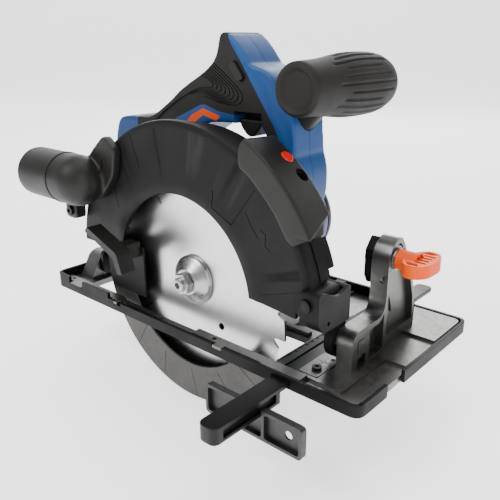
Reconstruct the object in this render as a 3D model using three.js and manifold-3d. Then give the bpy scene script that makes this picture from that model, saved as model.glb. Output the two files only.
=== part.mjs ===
// Cordless circular saw with the blade on the right, a bevelling base and a rip fence.
// Millimetres, +Z up, +X is the cutting direction and +Y the motor side.
// Every piece is drawn in the blade's frame: y = 0 is the blade's plane and z = 0 the sole.
// The whole saw is then shifted so that the origin lies in the middle of the base's width.

import * as THREE from 'three'
import { mergeVertices } from 'three/addons/utils/BufferGeometryUtils.js'
import Module from 'manifold-3d'

const wasm = await Module()
wasm.setup()

// ---------------------------------------------------------------- driving dimensions
const GAP = 0.3
const ROUND = 40
const DEG = Math.PI / 180
const BASE = { x0: -142.4, x1: 148.5, y0: -24.4, y1: 117.4, skirt: 2.4, plate: 4.5 }
const SLOT = { x0: -114, x1: 80.8, y0: -13, y1: 28 }
const SPINDLE = { x: 0, z: 35.65 }
const MOTOR = { x: 8, z: 63 }
const BLADE = { radius: 82.5, body: 78.5, half: 0.9, teeth: 24 }
const BEVEL = { y: 14, z: 18 }
const DEPTH = { x: 108.5, z: 54 }
const KNOB = { y: 54, z: 65 }
const QUADRANT = { x0: 111, x1: 123 }
const BOLT_ARC = 61.7
const SWING = { x0: 105, x1: 110.7 }
const GUARD = { near: -15, far: 13, radius: 110.5, wall: 2.5, window: 63 }
const LOWER = { radius: 87.7, near: -9.7, far: 9, start: 170, end: 328 }
const GEAR = { teeth: 36, module: 28.5 / 22.5, addendum: 0.7, dedendum: 1.1 }
const PINION_TEETH = 9
const SEAM = 38
const GRIP_HALF = 17
const AUX = { x: 76.5, z: 166, y0: 8, y1: 103, rootX: 52, rootZ: 141.5 }
const FENCE = { x0: 88.5, x1: 101.5, y0: -86, y1: 164, top: 5.4, under: 2 }
const TROUGH = { x0: 81.8, y0: -14, y1: 109 }
const CLAMP = { x: 106, y: -3 }
const PORT = { y: -29, z: 97.5, outer: 18.5, bore: 15.6, mouth: -142, knee: -88 }
const GUIDE = { y0: 14.5, y1: 17.5, radius: 170.6, slot: 3.4 }
const STUD = { x: -62, z: 48 }

const COLOURS = {
  casting: [0x8c8c8a, 0.42, 0.85],
  black: [0x33322f, 0.6, 0],
  rubber: [0x2b2a28, 0.85, 0],
  blue: [0x2f6fa6, 0.4, 0],
  orange: [0xe2641c, 0.4, 0],
  red: [0xd23a2c, 0.3, 0],
  steel: [0xc8c8c8, 0.25, 1],
  darkSteel: [0x3c3c3d, 0.45, 0.8],
  copper: [0xa8622e, 0.4, 1],
}

// ---------------------------------------------------------------- solids and booleans
function toSolid(geometry) {
  const plain = geometry.index ? geometry.toNonIndexed() : geometry.clone()
  plain.deleteAttribute('normal')
  plain.deleteAttribute('uv')
  const merged = mergeVertices(plain, 1e-4)
  return new wasm.Manifold(new wasm.Mesh({
    numProp: 3,
    vertProperties: new Float32Array(merged.attributes.position.array),
    triVerts: new Uint32Array(merged.index.array),
  }))
}

function toGeometry(solid) {
  const mesh = solid.getMesh()
  const geometry = new THREE.BufferGeometry()
  geometry.setAttribute('position', new THREE.BufferAttribute(mesh.vertProperties, 3))
  geometry.setIndex(new THREE.BufferAttribute(mesh.triVerts, 1))
  geometry.computeVertexNormals()
  return geometry
}

function join(...parts) {
  return toGeometry(parts.map(toSolid).reduce((sum, next) => sum.add(next)))
}

function cut(body, ...tools) {
  return toGeometry(tools.map(toSolid).reduce((rest, tool) => rest.subtract(tool), toSolid(body)))
}

function common(first, second) {
  return toGeometry(toSolid(first).intersect(toSolid(second)))
}

// ---------------------------------------------------------------- shape helpers
function box(x0, x1, y0, y1, z0, z1) {
  const geometry = new THREE.BoxGeometry(x1 - x0, y1 - y0, z1 - z0)
  return geometry.translate((x0 + x1) / 2, (y0 + y1) / 2, (z0 + z1) / 2)
}

// An outline of points [a, b, radius], with each corner rounded by its own radius.
function outline(points) {
  const shape = new THREE.Shape()
  points.forEach(([a, b, radius = 0], i) => {
    const before = points[(i + points.length - 1) % points.length]
    const after = points[(i + 1) % points.length]
    const corner = new THREE.Vector2(a, b)
    const towards = (other) => {
      const way = new THREE.Vector2(other[0], other[1]).sub(corner)
      return way.setLength(Math.min(radius, way.length() * 0.48)).add(corner)
    }
    const entry = towards(before)
    const exit = towards(after)
    if (i === 0) shape.moveTo(entry.x, entry.y)
    else shape.lineTo(entry.x, entry.y)
    if (radius > 0) shape.quadraticCurveTo(a, b, exit.x, exit.y)
  })
  return shape
}

function sector(inner, outer, from, to) {
  const shape = new THREE.Shape()
  shape.absarc(0, 0, outer, from * DEG, to * DEG, false)
  if (inner > 0) shape.absarc(0, 0, inner, to * DEG, from * DEG, true)
  else shape.lineTo(0, 0)
  return shape
}

function extruded(shape, depth, segments, bevel) {
  return new THREE.ExtrudeGeometry(shape, {
    depth: depth - 2 * bevel,
    curveSegments: segments,
    bevelEnabled: bevel > 0,
    bevelThickness: bevel,
    bevelSize: bevel,
    bevelOffset: -bevel,
    bevelSegments: 1,
  }).translate(0, 0, bevel)
}

// A shape drawn in X and Z, from y0 to y1.
function alongY(shape, y0, y1, segments = 3, bevel = 0) {
  return extruded(shape, y1 - y0, segments, bevel).rotateX(Math.PI / 2).translate(0, y1, 0)
}

// A shape drawn in Y and Z, from x0 to x1.
function alongX(shape, x0, x1, segments = 3, bevel = 0) {
  const turn = new THREE.Matrix4().makeBasis(
    new THREE.Vector3(0, 1, 0), new THREE.Vector3(0, 0, 1), new THREE.Vector3(1, 0, 0))
  return extruded(shape, x1 - x0, segments, bevel).applyMatrix4(turn).translate(x0, 0, 0)
}

// A shape drawn in X and Y, from z0 to z1.
function alongZ(shape, z0, z1, segments = 3, bevel = 0) {
  return extruded(shape, z1 - z0, segments, bevel).translate(0, 0, z0)
}

// A body turned from a profile of [radius, height], about the Y axis through (x, z).
function turnedY(profile, x, z, segments = 20) {
  const points = profile.map(([radius, height]) => new THREE.Vector2(radius, height))
  return new THREE.LatheGeometry(points, segments).translate(x, 0, z)
}

function rodY(radius, y0, y1, x, z, segments = 12) {
  return turnedY([[0, y0], [radius, y0], [radius, y1], [0, y1]], x, z, segments)
}

function rodX(radius, x0, x1, y, z, segments = 12) {
  return rodY(radius, -x1, -x0, 0, 0, segments).rotateZ(Math.PI / 2).translate(0, y, z)
}

function rodZ(radius, z0, z1, x, y, segments = 12) {
  return rodY(radius, z0, z1, 0, 0, segments).rotateX(Math.PI / 2).translate(x, y, 0)
}

function ringY(inner, outer, y0, y1, x, z, segments = 20) {
  return turnedY([[inner, y0], [outer, y0], [outer, y1], [inner, y1], [inner, y0]], x, z, segments)
}

// A rod along a spoke of the guard, at `angle` degrees above +X, from r0 to r1.
function spoke(radius, r0, r1, angle, y, segments = 12) {
  return rodX(radius, r0, r1, 0, 0, segments)
    .rotateY(-angle * DEG)
    .translate(SPINDLE.x, y, SPINDLE.z)
}

const saw = new THREE.Group()
saw.position.y = -(BASE.y0 + BASE.y1) / 2

function piece(name, geometry, finish) {
  const [color, roughness, metalness] = COLOURS[finish]
  const mesh = new THREE.Mesh(geometry, new THREE.MeshStandardMaterial({ color, roughness, metalness }))
  mesh.name = name
  saw.add(mesh)
}

// ---------------------------------------------------------------- base
const fenceChannel = box(
  FENCE.x0 - GAP, FENCE.x1 + GAP, -60, 150, FENCE.under - GAP, FENCE.top + GAP)
const fenceTrough = box(TROUGH.x0, FENCE.x1 + GAP, TROUGH.y0, TROUGH.y1, FENCE.under - GAP, 20)
const slotCut = box(SLOT.x0, SLOT.x1, SLOT.y0, SLOT.y1, -1, 20)

function quadrantPlate() {
  const profile = outline([
    [8, 3], [8, 30, 8], [41, 30, 4], [45, 37, 4], [45, 68, 4], [50, 75, 3], [59, 79, 5],
    [65, 71], [72, 59], [78.5, 46], [83.5, 32], [85.5, 18], [85, 3],
  ])
  const arch = outline([[14.5, 3.9], [14.5, 12.5, 2], [23.5, 12.5, 2], [23.5, 3.9]])
  const window = outline([
    [47.5, 15], [47.5, 66], [52, 72, 2], [58, 75, 3], [63, 68.5], [70, 57], [76, 45], [81, 31], [82, 15],
  ])
  const hollow = outline([[29, 7], [29, 26.5], [40.5, 26.5, 3], [43.5, 31], [43.5, 7]])
  const plate = cut(
    alongX(profile, QUADRANT.x0, QUADRANT.x1, 3, 0.8),
    alongX(window, QUADRANT.x1 - 4, QUADRANT.x1 + 1),
    alongX(hollow, QUADRANT.x1 - 5, QUADRANT.x1 + 1),
    rodX(4.3, QUADRANT.x0 - 1, QUADRANT.x1 - 2, BEVEL.y, BEVEL.z),
    rodX(3.4, QUADRANT.x0 - 1, QUADRANT.x1 + 1, KNOB.y, KNOB.z),
    alongX(arch, QUADRANT.x1 - 5, QUADRANT.x1 + 1),
  )
  const boss = rodX(8.5, QUADRANT.x1 - 5, QUADRANT.x1, KNOB.y, KNOB.z, 20)
  const pad = box(QUADRANT.x1 - 1, QUADRANT.x1 + 0.6, 14, 21, 15.5, 23.5)
  return join(plate, pad, cut(boss, rodX(3.4, QUADRANT.x0, QUADRANT.x1 + 1, KNOB.y, KNOB.z)))
}

function basePlate() {
  const inset = BASE.skirt + GAP
  const sheet = alongZ(outline([
    [BASE.x0 + inset, BASE.y0 + inset, 5], [BASE.x1 - inset, BASE.y0 + inset, 5],
    [BASE.x1 - inset, BASE.y1 - inset, 5], [BASE.x0 + inset, BASE.y1 - inset, 5],
  ]), 0, BASE.plate)
  const bridgeSpans = [[BASE.y0 + inset, TROUGH.y0], [TROUGH.y1, BASE.y1 - inset]]
  const bridges = bridgeSpans.map(([y0, y1]) => box(77, 107, y0, y1, 0, 7.7))
  const deck = alongZ(outline([
    [80, -14], [131, -14, 2], [131, 35], [144.8, 35], [144.8, 76], [80, 76],
  ]), 4, 6.2)
  const farDeck = alongZ(outline([[107, 73], [144.8, 73], [144.8, 113.7, 5], [107, 113.7]]), 4, 8.2)
  const nearUpstand = alongZ(outline([
    [-136, -20.4], [-18, -20.4], [-18, -16], [-60, -16], [-66, -13.2], [-136, -13.2],
  ]), 4, 7.4)
  const frontUpstand = box(16, 80, -20.4, -13.2, 4, 7.4)
  const farUpstand = box(-136, 76, 30, 34, 4, 7.4)
  const rearBoss = alongX(outline([[-6, 3], [6, 24.5, 5], [22, 24.5, 5], [33, 3]]), -136, -120.5)
  const body = join(
    sheet, ...bridges, deck, farDeck, nearUpstand, frontUpstand, farUpstand, rearBoss,
    quadrantPlate())
  const ribs = [[-138, -90], [-90, -40], [-40, 10], [10, 60]]
  const ribbed = ribs.reduce((sum, [x0, x1]) => join(
    sum, box(x1 - 2, x1, 33, 113.5, 4, 6.6), box(x0, x1, 72, 74, 4, 6.6)), body)
  return cut(
    ribbed,
    slotCut,
    fenceChannel,
    fenceTrough,
    box(97, 112, -11.5, 17.5, 5.4, 20),
    rodZ(1.9, 0.9, 8, CLAMP.x, CLAMP.y),
    rodX(4.3, -150, -120, BEVEL.y, BEVEL.z),
  )
}

function baseSkirt() {
  const height = 12
  const low = 8
  const outer = outline([
    [BASE.x0, BASE.y0, 7], [BASE.x1, BASE.y0, 7], [BASE.x1, BASE.y1, 7], [BASE.x0, BASE.y1, 7],
  ])
  const k = BASE.skirt
  const inner = outline([
    [BASE.x0 + k, BASE.y0 + k, 4.5], [BASE.x1 - k, BASE.y0 + k, 4.5],
    [BASE.x1 - k, BASE.y1 - k, 4.5], [BASE.x0 + k, BASE.y1 - k, 4.5],
  ])
  const wall = k + 2
  return cut(
    alongZ(outer, 0.4, height, 4, 0.6),
    alongZ(inner, -1, height + 1),
    box(-124, -106, BASE.y0 - 1, BASE.y0 + wall, 6.5, height + 1),
    box(-72, BASE.x1 + 1, BASE.y0 - 1, BASE.y0 + wall, low, height + 1),
    box(-66, -57, BASE.y0 - 1, BASE.y0 + wall, 5.5, height + 1),
    box(38, 47, BASE.y0 - 1, BASE.y0 + wall, 5.5, height + 1),
    box(BASE.x1 - 40, BASE.x1 + 1, BASE.y0 - 1, BASE.y1 + 1, 8.6, height + 1),
    box(BASE.x1 - wall, BASE.x1 + 1, 6, 26, -1, height + 1),
    fenceChannel,
  )
}

piece('base_plate', basePlate(), 'casting')
piece('fence_guide', box(
  TROUGH.x0 + GAP, FENCE.x0 - 2 * GAP, TROUGH.y0 + GAP, TROUGH.y1 - GAP, FENCE.under, 6), 'black')
piece('base_skirt', baseSkirt(), 'black')
piece('front_pivot_pin', rodX(4, SWING.x0 - 2.5, QUADRANT.x1 - 2 - GAP, BEVEL.y, BEVEL.z), 'darkSteel')
piece('rear_pivot_pin', join(
  rodX(4, -138, -115, BEVEL.y, BEVEL.z),
  rodX(6, -138.4, -136.3, BEVEL.y, BEVEL.z),
), 'darkSteel')
piece('bevel_bolt', join(
  rodX(3, SWING.x0 + 1, QUADRANT.x1 + 10, KNOB.y, KNOB.z),
  rodX(4.6, SWING.x0 + 0.2, SWING.x0 + 2.5, KNOB.y, KNOB.z, 20),
), 'darkSteel')
piece('fence_clamp_plate', cut(
  alongZ(outline([[98.2, -11, 2], [111.6, -11, 2], [111.6, 17, 2], [98.2, 17, 2]]), 5.7, 6.7),
  rodZ(1.9, 5, 8, CLAMP.x, CLAMP.y),
), 'steel')
piece('fence_clamp_screw', join(
  rodZ(1.6, 1.2, 7.5, CLAMP.x, CLAMP.y),
  rodZ(3, 7, 8.4, CLAMP.x, CLAMP.y),
), 'darkSteel')

// ---------------------------------------------------------------- bevel frame
function frontBracket() {
  const block = alongX(outline([
    [-20, 43], [-15, 38], [11.5, 38], [11.5, 60, 2], [-2, 56, 8], [-14, 62, 3], [-20, 62, 2],
  ]), 100, 117.5, 3, 0.6)
  const neck = alongX(outline([
    [-6, 40], [5, 30, 3], [4, 16, 5], [14, 7, 6], [24, 16, 5], [18, 34], [18, 58], [8, 58], [8, 40],
  ]), SWING.x0, SWING.x1, 4)
  const band = alongX(sector(BOLT_ARC - 6.2, BOLT_ARC + 9, -3, 56), SWING.x0, SWING.x1, 7)
  const swing = cut(band.translate(0, BEVEL.y, BEVEL.z), box(100, 115, 30, 46.6, 40, 80))
  const arm = alongX(outline([
    [10, 9.5, 4], [74, 9.5, 4], [74, 26], [60, 26], [10, 27],
  ]), SWING.x0, SWING.x1)
  const pad = alongX(outline([
    [47, 52], [51, 45.5, 2], [62, 50], [62, 66], [57, 76, 2], [53, 76, 2], [47, 69],
  ]), SWING.x0, SWING.x1)
  const boltSlot = alongX(
    sector(BOLT_ARC - 3.3, BOLT_ARC + 3.3, 1, 53.5), SWING.x0 - 1, SWING.x1 + 1, 7)
  const headSlot = alongX(
    sector(BOLT_ARC - 4.9, BOLT_ARC + 4.9, -0.5, 54.6), SWING.x0 - 1, SWING.x0 + 2.8, 7)
  return cut(
    join(block, neck, swing, arm, pad),
    box(99, 115, -15.3, 7.8, 46, 70),
    rodY(3.3, -30, 30, DEPTH.x, DEPTH.z),
    rodX(4.3, 90, 120, BEVEL.y, BEVEL.z),
    boltSlot.translate(0, BEVEL.y, BEVEL.z),
    headSlot.translate(0, BEVEL.y, BEVEL.z),
  )
}

function depthGuide() {
  const r = GUIDE.radius
  const arc = alongY(sector(r - 7.5, r + 7.5, 153, 185), GUIDE.y0, GUIDE.y1, 8)
  const slot = alongY(sector(r - GUIDE.slot, r + GUIDE.slot, 156, 183.4), GUIDE.y0 - 1, GUIDE.y1 + 1, 8)
  const foot = outline([
    [-68, 45], [-55, 45], [-54, 14, 4], [-116, 11], [-119, 11], [-119, 25, 3], [-100, 25, 6],
    [-70, 36, 6],
  ])
  const tab = outline([[4, 8, 5], [24, 8, 5], [24, 28, 5], [4, 28, 5]])
  return cut(
    join(
      arc.translate(DEPTH.x, 0, DEPTH.z),
      alongY(foot, GUIDE.y0, GUIDE.y1),
      alongX(tab, -119, -116),
    ),
    slot.translate(DEPTH.x, 0, DEPTH.z),
    rodX(4.4, -130, -112, BEVEL.y, BEVEL.z),
  )
}

piece('front_bracket', frontBracket(), 'black')
piece('depth_guide', depthGuide(), 'darkSteel')
piece('depth_pivot_screw', join(
  rodY(2.9, -21, 12.5, DEPTH.x, DEPTH.z),
  rodY(4, -22, -20.3, DEPTH.x, DEPTH.z),
), 'darkSteel')

// ---------------------------------------------------------------- bevel knob
function bevelKnob() {
  const wing = alongZ(outline([
    [129, 53], [132.5, 42, 3], [136, 38.5, 3], [143, 38.5, 3], [148, 45, 3], [148.4, 62, 3],
    [144, 70, 3], [136, 71, 3], [130.5, 63, 3],
  ]), 60.5, 68.5, 3, 1)
  const hub = rodX(6.4, QUADRANT.x1 + 1.9, 138, KNOB.y, KNOB.z)
  const slots = [46, 50.5, 55, 59.5].map((y) => alongZ(
    outline([[137.5, y - 1], [145, y - 1], [144, y + 1.2], [136.5, y + 1.2]]), 60, 69.5))
  return cut(join(wing, hub), rodX(3.3, 120, 134, KNOB.y, KNOB.z), ...slots)
}

piece('bevel_knob', bevelKnob(), 'orange')
piece('knob_washer', rodXRing(3.4, 7, QUADRANT.x1 + GAP, QUADRANT.x1 + 1.6, KNOB.y, KNOB.z), 'steel')

function rodXRing(inner, outer, x0, x1, y, z) {
  return cut(rodX(outer, x0, x1, y, z), rodX(inner, x0 - 1, x1 + 1, y, z))
}

// ---------------------------------------------------------------- upper guard and what it carries
function upperGuard() {
  const { near, far, radius, wall, window } = GUARD
  const rim = turnedY([
    [radius - 3, near], [radius - 1.5, near], [radius, near + 1.8], [radius - 4.5, far],
    [radius - 7.3, far], [radius - 3, near + wall], [radius - 3, near],
  ], SPINDLE.x, SPINDLE.z, ROUND)
  const nearDisc = ringY(window, radius - 2.4, near, near + wall, SPINDLE.x, SPINDLE.z, ROUND)
  const band = ringY(window + 0.6, 73, near - 0.6, near + 1, SPINDLE.x, SPINDLE.z, ROUND)
  const backDisc = rodY(radius - 5.4, far - wall, far, SPINDLE.x, SPINDLE.z, ROUND)
  const below = outline([
    [-130, 46], [-69, 46], [-64, 41], [-40, 20], [40, 20], [58, 44], [66, 44], [98, 41], [98, 48],
    [130, 48], [130, -120], [-130, -120],
  ])
  const shell = cut(
    join(rim, nearDisc, band, backDisc),
    alongY(below, near - 5, far - 3.2),
    alongY(outline([[-130, 44], [130, 44], [130, -120], [-130, -120]]), far - 4, far + 1),
  )
  const sleeve = alongY(sector(100, radius - 1.1, 14, 26.5), -2, far, 4)
  const backLobe = rodY(30, far - wall, far, SPINDLE.x, SPINDLE.z, 24)
  const tongue = join(
    box(97, DEPTH.x, near, 7.5, DEPTH.z - 6, DEPTH.z + 6),
    rodY(6, near, 7.5, DEPTH.x, DEPTH.z),
  )
  return cut(
    join(shell, backLobe, tongue, sleeve.translate(SPINDLE.x, 0, SPINDLE.z)),
    box(96.5, 125, 7.5, 20, 30, 67),
    rodY(22, 5, 20, SPINDLE.x, SPINDLE.z, 24),
    rodY(3.3, -20, 20, DEPTH.x, DEPTH.z),
    rodY(6.4, near - 5, near + 4, -78, 98),
    rodY(3.3, 5, 20, STUD.x, STUD.z),
  )
}

function guardEnvelope(grow) {
  const { near, far, radius } = GUARD
  return turnedY([
    [0, near - grow], [radius + grow - 1.5, near - grow], [radius + grow, near + 1.8],
    [radius + grow - 4.5, far + grow], [0, far + grow],
  ], SPINDLE.x, SPINDLE.z, ROUND)
}

function laserCover() {
  const side = outline([
    [57, 124, 2], [66, 119, 4], [84, 101, 6], [92, 88, 3], [97, 86, 3], [101, 92, 3], [114, 97, 4],
    [116, 108, 5], [104, 126, 8], [86, 141, 8], [66, 146, 6], [56, 136, 4],
  ])
  const hull = alongY(side, -18.4, 10, 3, 1.2)
  const keep = turnedY([[0, -30], [124, -30], [120, 20], [0, 20]], SPINDLE.x, SPINDLE.z, ROUND)
  return cut(
    common(hull, keep),
    guardEnvelope(GAP),
    spoke(4.6, 113, 126, 51, 3),
    spoke(4.5, 117, 126, 44.5, 4),
  )
}

function dustPort() {
  const { y, z, outer, bore, mouth, knee } = PORT
  const tube = rodX(outer, mouth, knee, y, z, 20)
  const ball = new THREE.SphereGeometry(outer, 20, 12).translate(knee, y, z)
  const collar = rodX(outer + 0.9, mouth + 38, mouth + 40, y, z, 20)
  const panel = alongY(outline([
    [-94, 88, 4], [-74, 84, 4], [-58, 103, 4], [-54, 122, 4], [-66, 131, 4], [-82, 118, 3], [-94, 104, 3],
  ]), -21.5, GUARD.near - GAP, 3, 0.8)
  const neck = rodY(15, y, GUARD.near - GAP, -84, z, 28)
  const boss = alongY(outline([[-118, 64, 3], [-104, 64, 3], [-104, 84, 2], [-118, 84, 2]]),
    -24, GUARD.near - GAP)
  return cut(
    join(tube, ball, collar, panel, neck, boss),
    guardEnvelope(GAP),
    rodX(bore, mouth - 1, knee, y, z, 20),
    rodX(9, knee - 2, -76, y, z),
    rodY(6.4, y, GUARD.near + 1, -78, 98),
    rodY(2.2, -30, -14, -111, 70, 12),
  )
}

piece('upper_guard', upperGuard(), 'black')
piece('laser_cover', laserCover(), 'black')
piece('laser_lens', spoke(4, 117.4, 121.2, 44.5, 4, 16), 'steel')
piece('dust_port', dustPort(), 'black')
piece('dust_port_screw', join(
  rodY(1.9, -25, -16, -111, 70, 12),
  rodY(3.6, -26, -24.3, -111, 70),
), 'steel')

// ---------------------------------------------------------------- gear housing and motor
function gearHousing() {
  const near = GUARD.far + GAP
  const outer = join(
    rodY(27, near, 34, SPINDLE.x, SPINDLE.z, 32),
    rodY(35.5, near, 34, MOTOR.x, MOTOR.z, 28),
    rodY(21, 3, near + 1, SPINDLE.x, SPINDLE.z, 24),
  )
  return cut(
    outer,
    rodY(25, 17, 31, SPINDLE.x, SPINDLE.z, 32),
    rodY(10, 17, 31, MOTOR.x, MOTOR.z, 24),
    rodY(18.5, 0, 7.8, SPINDLE.x, SPINDLE.z, 24),
    rodY(16.3, 7, 15.6, SPINDLE.x, SPINDLE.z, 24),
    rodY(9.5, 7, 20, SPINDLE.x, SPINDLE.z, 24),
    rodY(12.3, 31.5, 36, MOTOR.x, MOTOR.z, 24),
    rodY(5, 29, 36, MOTOR.x, MOTOR.z),
    rodY(5.4, 25, 36, SPINDLE.x, SPINDLE.z),
    rodY(3.3, 25, 36, -6, 17),
  )
}

function motorHousing() {
  const shell = turnedY([
    [33, 34.4], [36, 34.4], [36, 92], [34, 100], [31, 100], [33, 91], [33, 34.4],
  ], MOTOR.x, MOTOR.z, 28)
  const vents = [-60, -40, -20, 0, 20].map((angle) => box(28, 40, 86, 89, -3, 3)
    .rotateY(-angle * DEG).translate(MOTOR.x, 0, MOTOR.z))
  return cut(shell, ...vents)
}

piece('gear_housing', gearHousing(), 'black')
piece('motor_housing', motorHousing(), 'blue')
piece('motor_cap', turnedY([
  [0, 100.3], [33.5, 100.3], [32, 106], [26, 109], [7, 110], [6, 112.5], [0, 112.5],
], MOTOR.x, MOTOR.z, 28), 'black')
piece('stator', ringY(18, 30, 46, 84, MOTOR.x, MOTOR.z, 28), 'copper')
piece('motor_bearing_front', ringY(4.4, 12, 32, 37, MOTOR.x, MOTOR.z, 24), 'steel')
piece('motor_bearing_rear', ringY(4.4, 12, 90, 96, MOTOR.x, MOTOR.z, 24), 'steel')
piece('spindle_bearing', ringY(8.4, 16, 8.3, 15.3, SPINDLE.x, SPINDLE.z, 24), 'steel')
piece('guard_spring', ringY(21.4, 24, 3.2, 7, SPINDLE.x, SPINDLE.z, 24), 'steel')

function toothedWheel(teeth, y0, y1, bore, phase) {
  const pitch = teeth * GEAR.module / 2
  const root = pitch - GEAR.dedendum
  const tip = pitch + GEAR.addendum
  const shape = new THREE.Shape()
  for (let i = 0; i < teeth; i += 1) {
    const middle = (i + phase) * 2 * Math.PI / teeth
    const corners = [[root, -0.95], [tip, -0.35], [tip, 0.35], [root, 0.95]]
    corners.forEach(([radius, half], k) => {
      const angle = middle + half / radius
      const x = radius * Math.cos(angle)
      const z = radius * Math.sin(angle)
      if (i === 0 && k === 0) shape.moveTo(x, z)
      else shape.lineTo(x, z)
    })
  }
  return cut(alongY(shape, y0, y1), rodY(bore, y0 - 1, y1 + 1, 0, 0, 20))
}

const meshAngle = Math.atan2(MOTOR.z - SPINDLE.z, MOTOR.x - SPINDLE.x)
const gearPhase = meshAngle * GEAR.teeth / (2 * Math.PI)
const pinionPhase = (meshAngle + Math.PI) * PINION_TEETH / (2 * Math.PI) + 0.5

piece('rotor', turnedY([
  [0, 18], [3, 18], [3, 31], [4, 31.5], [4, 48], [17, 48], [17, 82], [4, 82], [4, 97], [0, 97],
], MOTOR.x, MOTOR.z, 24), 'darkSteel')
piece('pinion', toothedWheel(PINION_TEETH, 19.5, 28.5, 3.3, pinionPhase)
  .translate(MOTOR.x, 0, MOTOR.z), 'steel')
piece('cooling_fan', fan(), 'black')

function fan() {
  const blades = Array.from({ length: 9 }, (_, i) => box(8, 27, 39.4, 44, -0.9, 0.9)
    .rotateY(i * 40 * DEG))
  const wheel = join(rodY(27, 38, 40, 0, 0, 32), rodY(9, 38, 44, 0, 0, 20), ...blades)
  return cut(wheel, rodY(4.3, 37, 45, 0, 0)).translate(MOTOR.x, 0, MOTOR.z)
}

// ---------------------------------------------------------------- handle
const handleOutline = [
  [-108, 104, 4], [-109, 121, 5], [-103, 137, 6], [-88, 139, 8], [-66, 139, 8], [-31, 161.5, 8],
  [-7, 172.5, 12], [3, 183, 8], [5.5, 196.8, 6], [13, 197.5, 5], [24, 188.5, 8], [33, 176.5, 6],
  [58, 139, 10], [68.5, 122, 10], [71, 104, 8], [67, 84, 8], [62, 62, 6],
  [44, 56], [-30, 74], [-40, 90, 8], [-82, 96, 8],
]
const handHole = [
  [-60, 107, 5], [-6, 140.6, 6], [35, 142.3, 4], [44, 138, 4], [47, 126, 5], [48, 104, 6], [-54, 101, 5],
]
const saddle = [[33, 178], [46, 174, 5], [64, 148, 5], [60, 137], [50, 142]]
const TRIGGER = { x0: 19.3, x1: 38.5, half: 13 }
const triggerPocket = join(
  box(TRIGGER.x0 - 0.8, TRIGGER.x1 + 3, 30.4, 45.6, 128, 158),
  box(TRIGGER.x0 - 0.8, TRIGGER.x1 + 3, 20, 56, 128, 149.5),
)
const lockPocket = alongY(outline([
  [15, 178, 2.5], [20, 181, 2.5], [29, 170, 2.5], [24.5, 167, 2.5],
]), 10, 70)

function handleHalf(y0, y1) {
  const outerFace = y0 < SEAM - 1 ? y0 : y1
  const body = cut(alongY(outline(handleOutline), y0, y1, 3), alongY(outline(handHole), 10, 70, 3))
  const corner = handleCorner(outerFace)
  const pad = alongY(outline(saddle), Math.max(y0, 22.5), Math.min(y1, 53.5))
  return cut(
    join(common(body, corner), pad),
    rodY(36.4, 10, 70, MOTOR.x, MOTOR.z, 28),
    rodY(27.6, 10, 34.4, SPINDLE.x, SPINDLE.z, 24),
    triggerPocket,
    box(-4, 35, 30, 46, 155, 168),
    lockPocket,
    box(-103, -70, 25, 51, 86, 128),
    rodY(2.2, 10, 70, -62, 130, 12),
    rodY(2.2, 10, 70, 58, 118, 12),
    rodY(6.4, SEAM - 12, SEAM + 12, AUX.rootX, AUX.rootZ),
    auxNeck(11.3),
  )
}

// The handle narrows towards its outer faces: a bevelled copy of its outline trims the edges.
function handleCorner(outerFace) {
  const y0 = outerFace < SEAM ? outerFace : SEAM - 20
  const y1 = outerFace < SEAM ? SEAM + 20 : outerFace
  return cut(
    alongY(outline(handleOutline.map(([x, z]) => [x, z])), y0, y1, 3, 4),
    holeFlare(outerFace),
  )
}

function holeFlare(outerFace) {
  const away = outerFace < SEAM ? -1 : 1
  const y0 = Math.min(outerFace + away * 8, outerFace - away * 4)
  const y1 = Math.max(outerFace + away * 8, outerFace - away * 4)
  const shape = outline(handHole)
  return new THREE.ExtrudeGeometry(shape, {
    depth: 4,
    curveSegments: 3,
    bevelEnabled: true,
    bevelThickness: 4,
    bevelSize: 4,
    bevelSegments: 1,
  }).rotateX(Math.PI / 2).translate(0, away < 0 ? y1 - 4 : y1, 0)
}

piece('handle_right', handleHalf(SEAM - GRIP_HALF, SEAM - GAP / 2), 'blue')
piece('handle_left', handleHalf(SEAM + GAP / 2, SEAM + GRIP_HALF), 'blue')
piece('switch_unit', box(-3, 33, 30.5, 45.5, 158.4, 167), 'black')
piece('battery_terminal_block', join(
  box(-102.6, -70.4, 25.4, 50.6, 114, 127.6),
  box(-99, -74, 30, 31.4, 107, 115),
  box(-99, -74, 37.3, 38.7, 107, 115),
  box(-99, -74, 44.6, 46, 107, 115),
), 'black')

// ---------------------------------------------------------------- controls
piece('trigger', join(
  alongY(outline([
    [TRIGGER.x0, 144], [20.2, 140, 2], [26.5, 133.5, 3], [31.5, 134, 3], [TRIGGER.x1, 142, 3],
    [TRIGGER.x1, 144],
  ]), SEAM - TRIGGER.half, SEAM + TRIGGER.half),
  box(TRIGGER.x0 + 0.2, TRIGGER.x1 - 0.2, 30.8, 45.2, 141, 153),
), 'black')
piece('lock_off_button', alongY(
  outline([[15.6, 177.6, 2.3], [20, 180.4, 2.3], [28.4, 170, 2.3], [24.4, 167.6, 2.3]]),
  SEAM - GRIP_HALF - 2.5, SEAM + GRIP_HALF - 1.5, 3), 'black')
piece('laser_button', spoke(4.2, 115.5, 122.5, 51, 3), 'red')
piece('spindle_lock_button', join(
  rodY(2.9, 30, 37, -6, 17),
  rodY(5.2, 36.8, 42, -6, 17),
), 'black')

// ---------------------------------------------------------------- depth stud and lever
piece('depth_stud', join(
  rodY(2.9, GUARD.far - GUARD.wall, 30, STUD.x, STUD.z),
  rodY(6, GUARD.far + GAP, GUIDE.y0 - GAP, STUD.x, STUD.z),
), 'steel')

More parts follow.
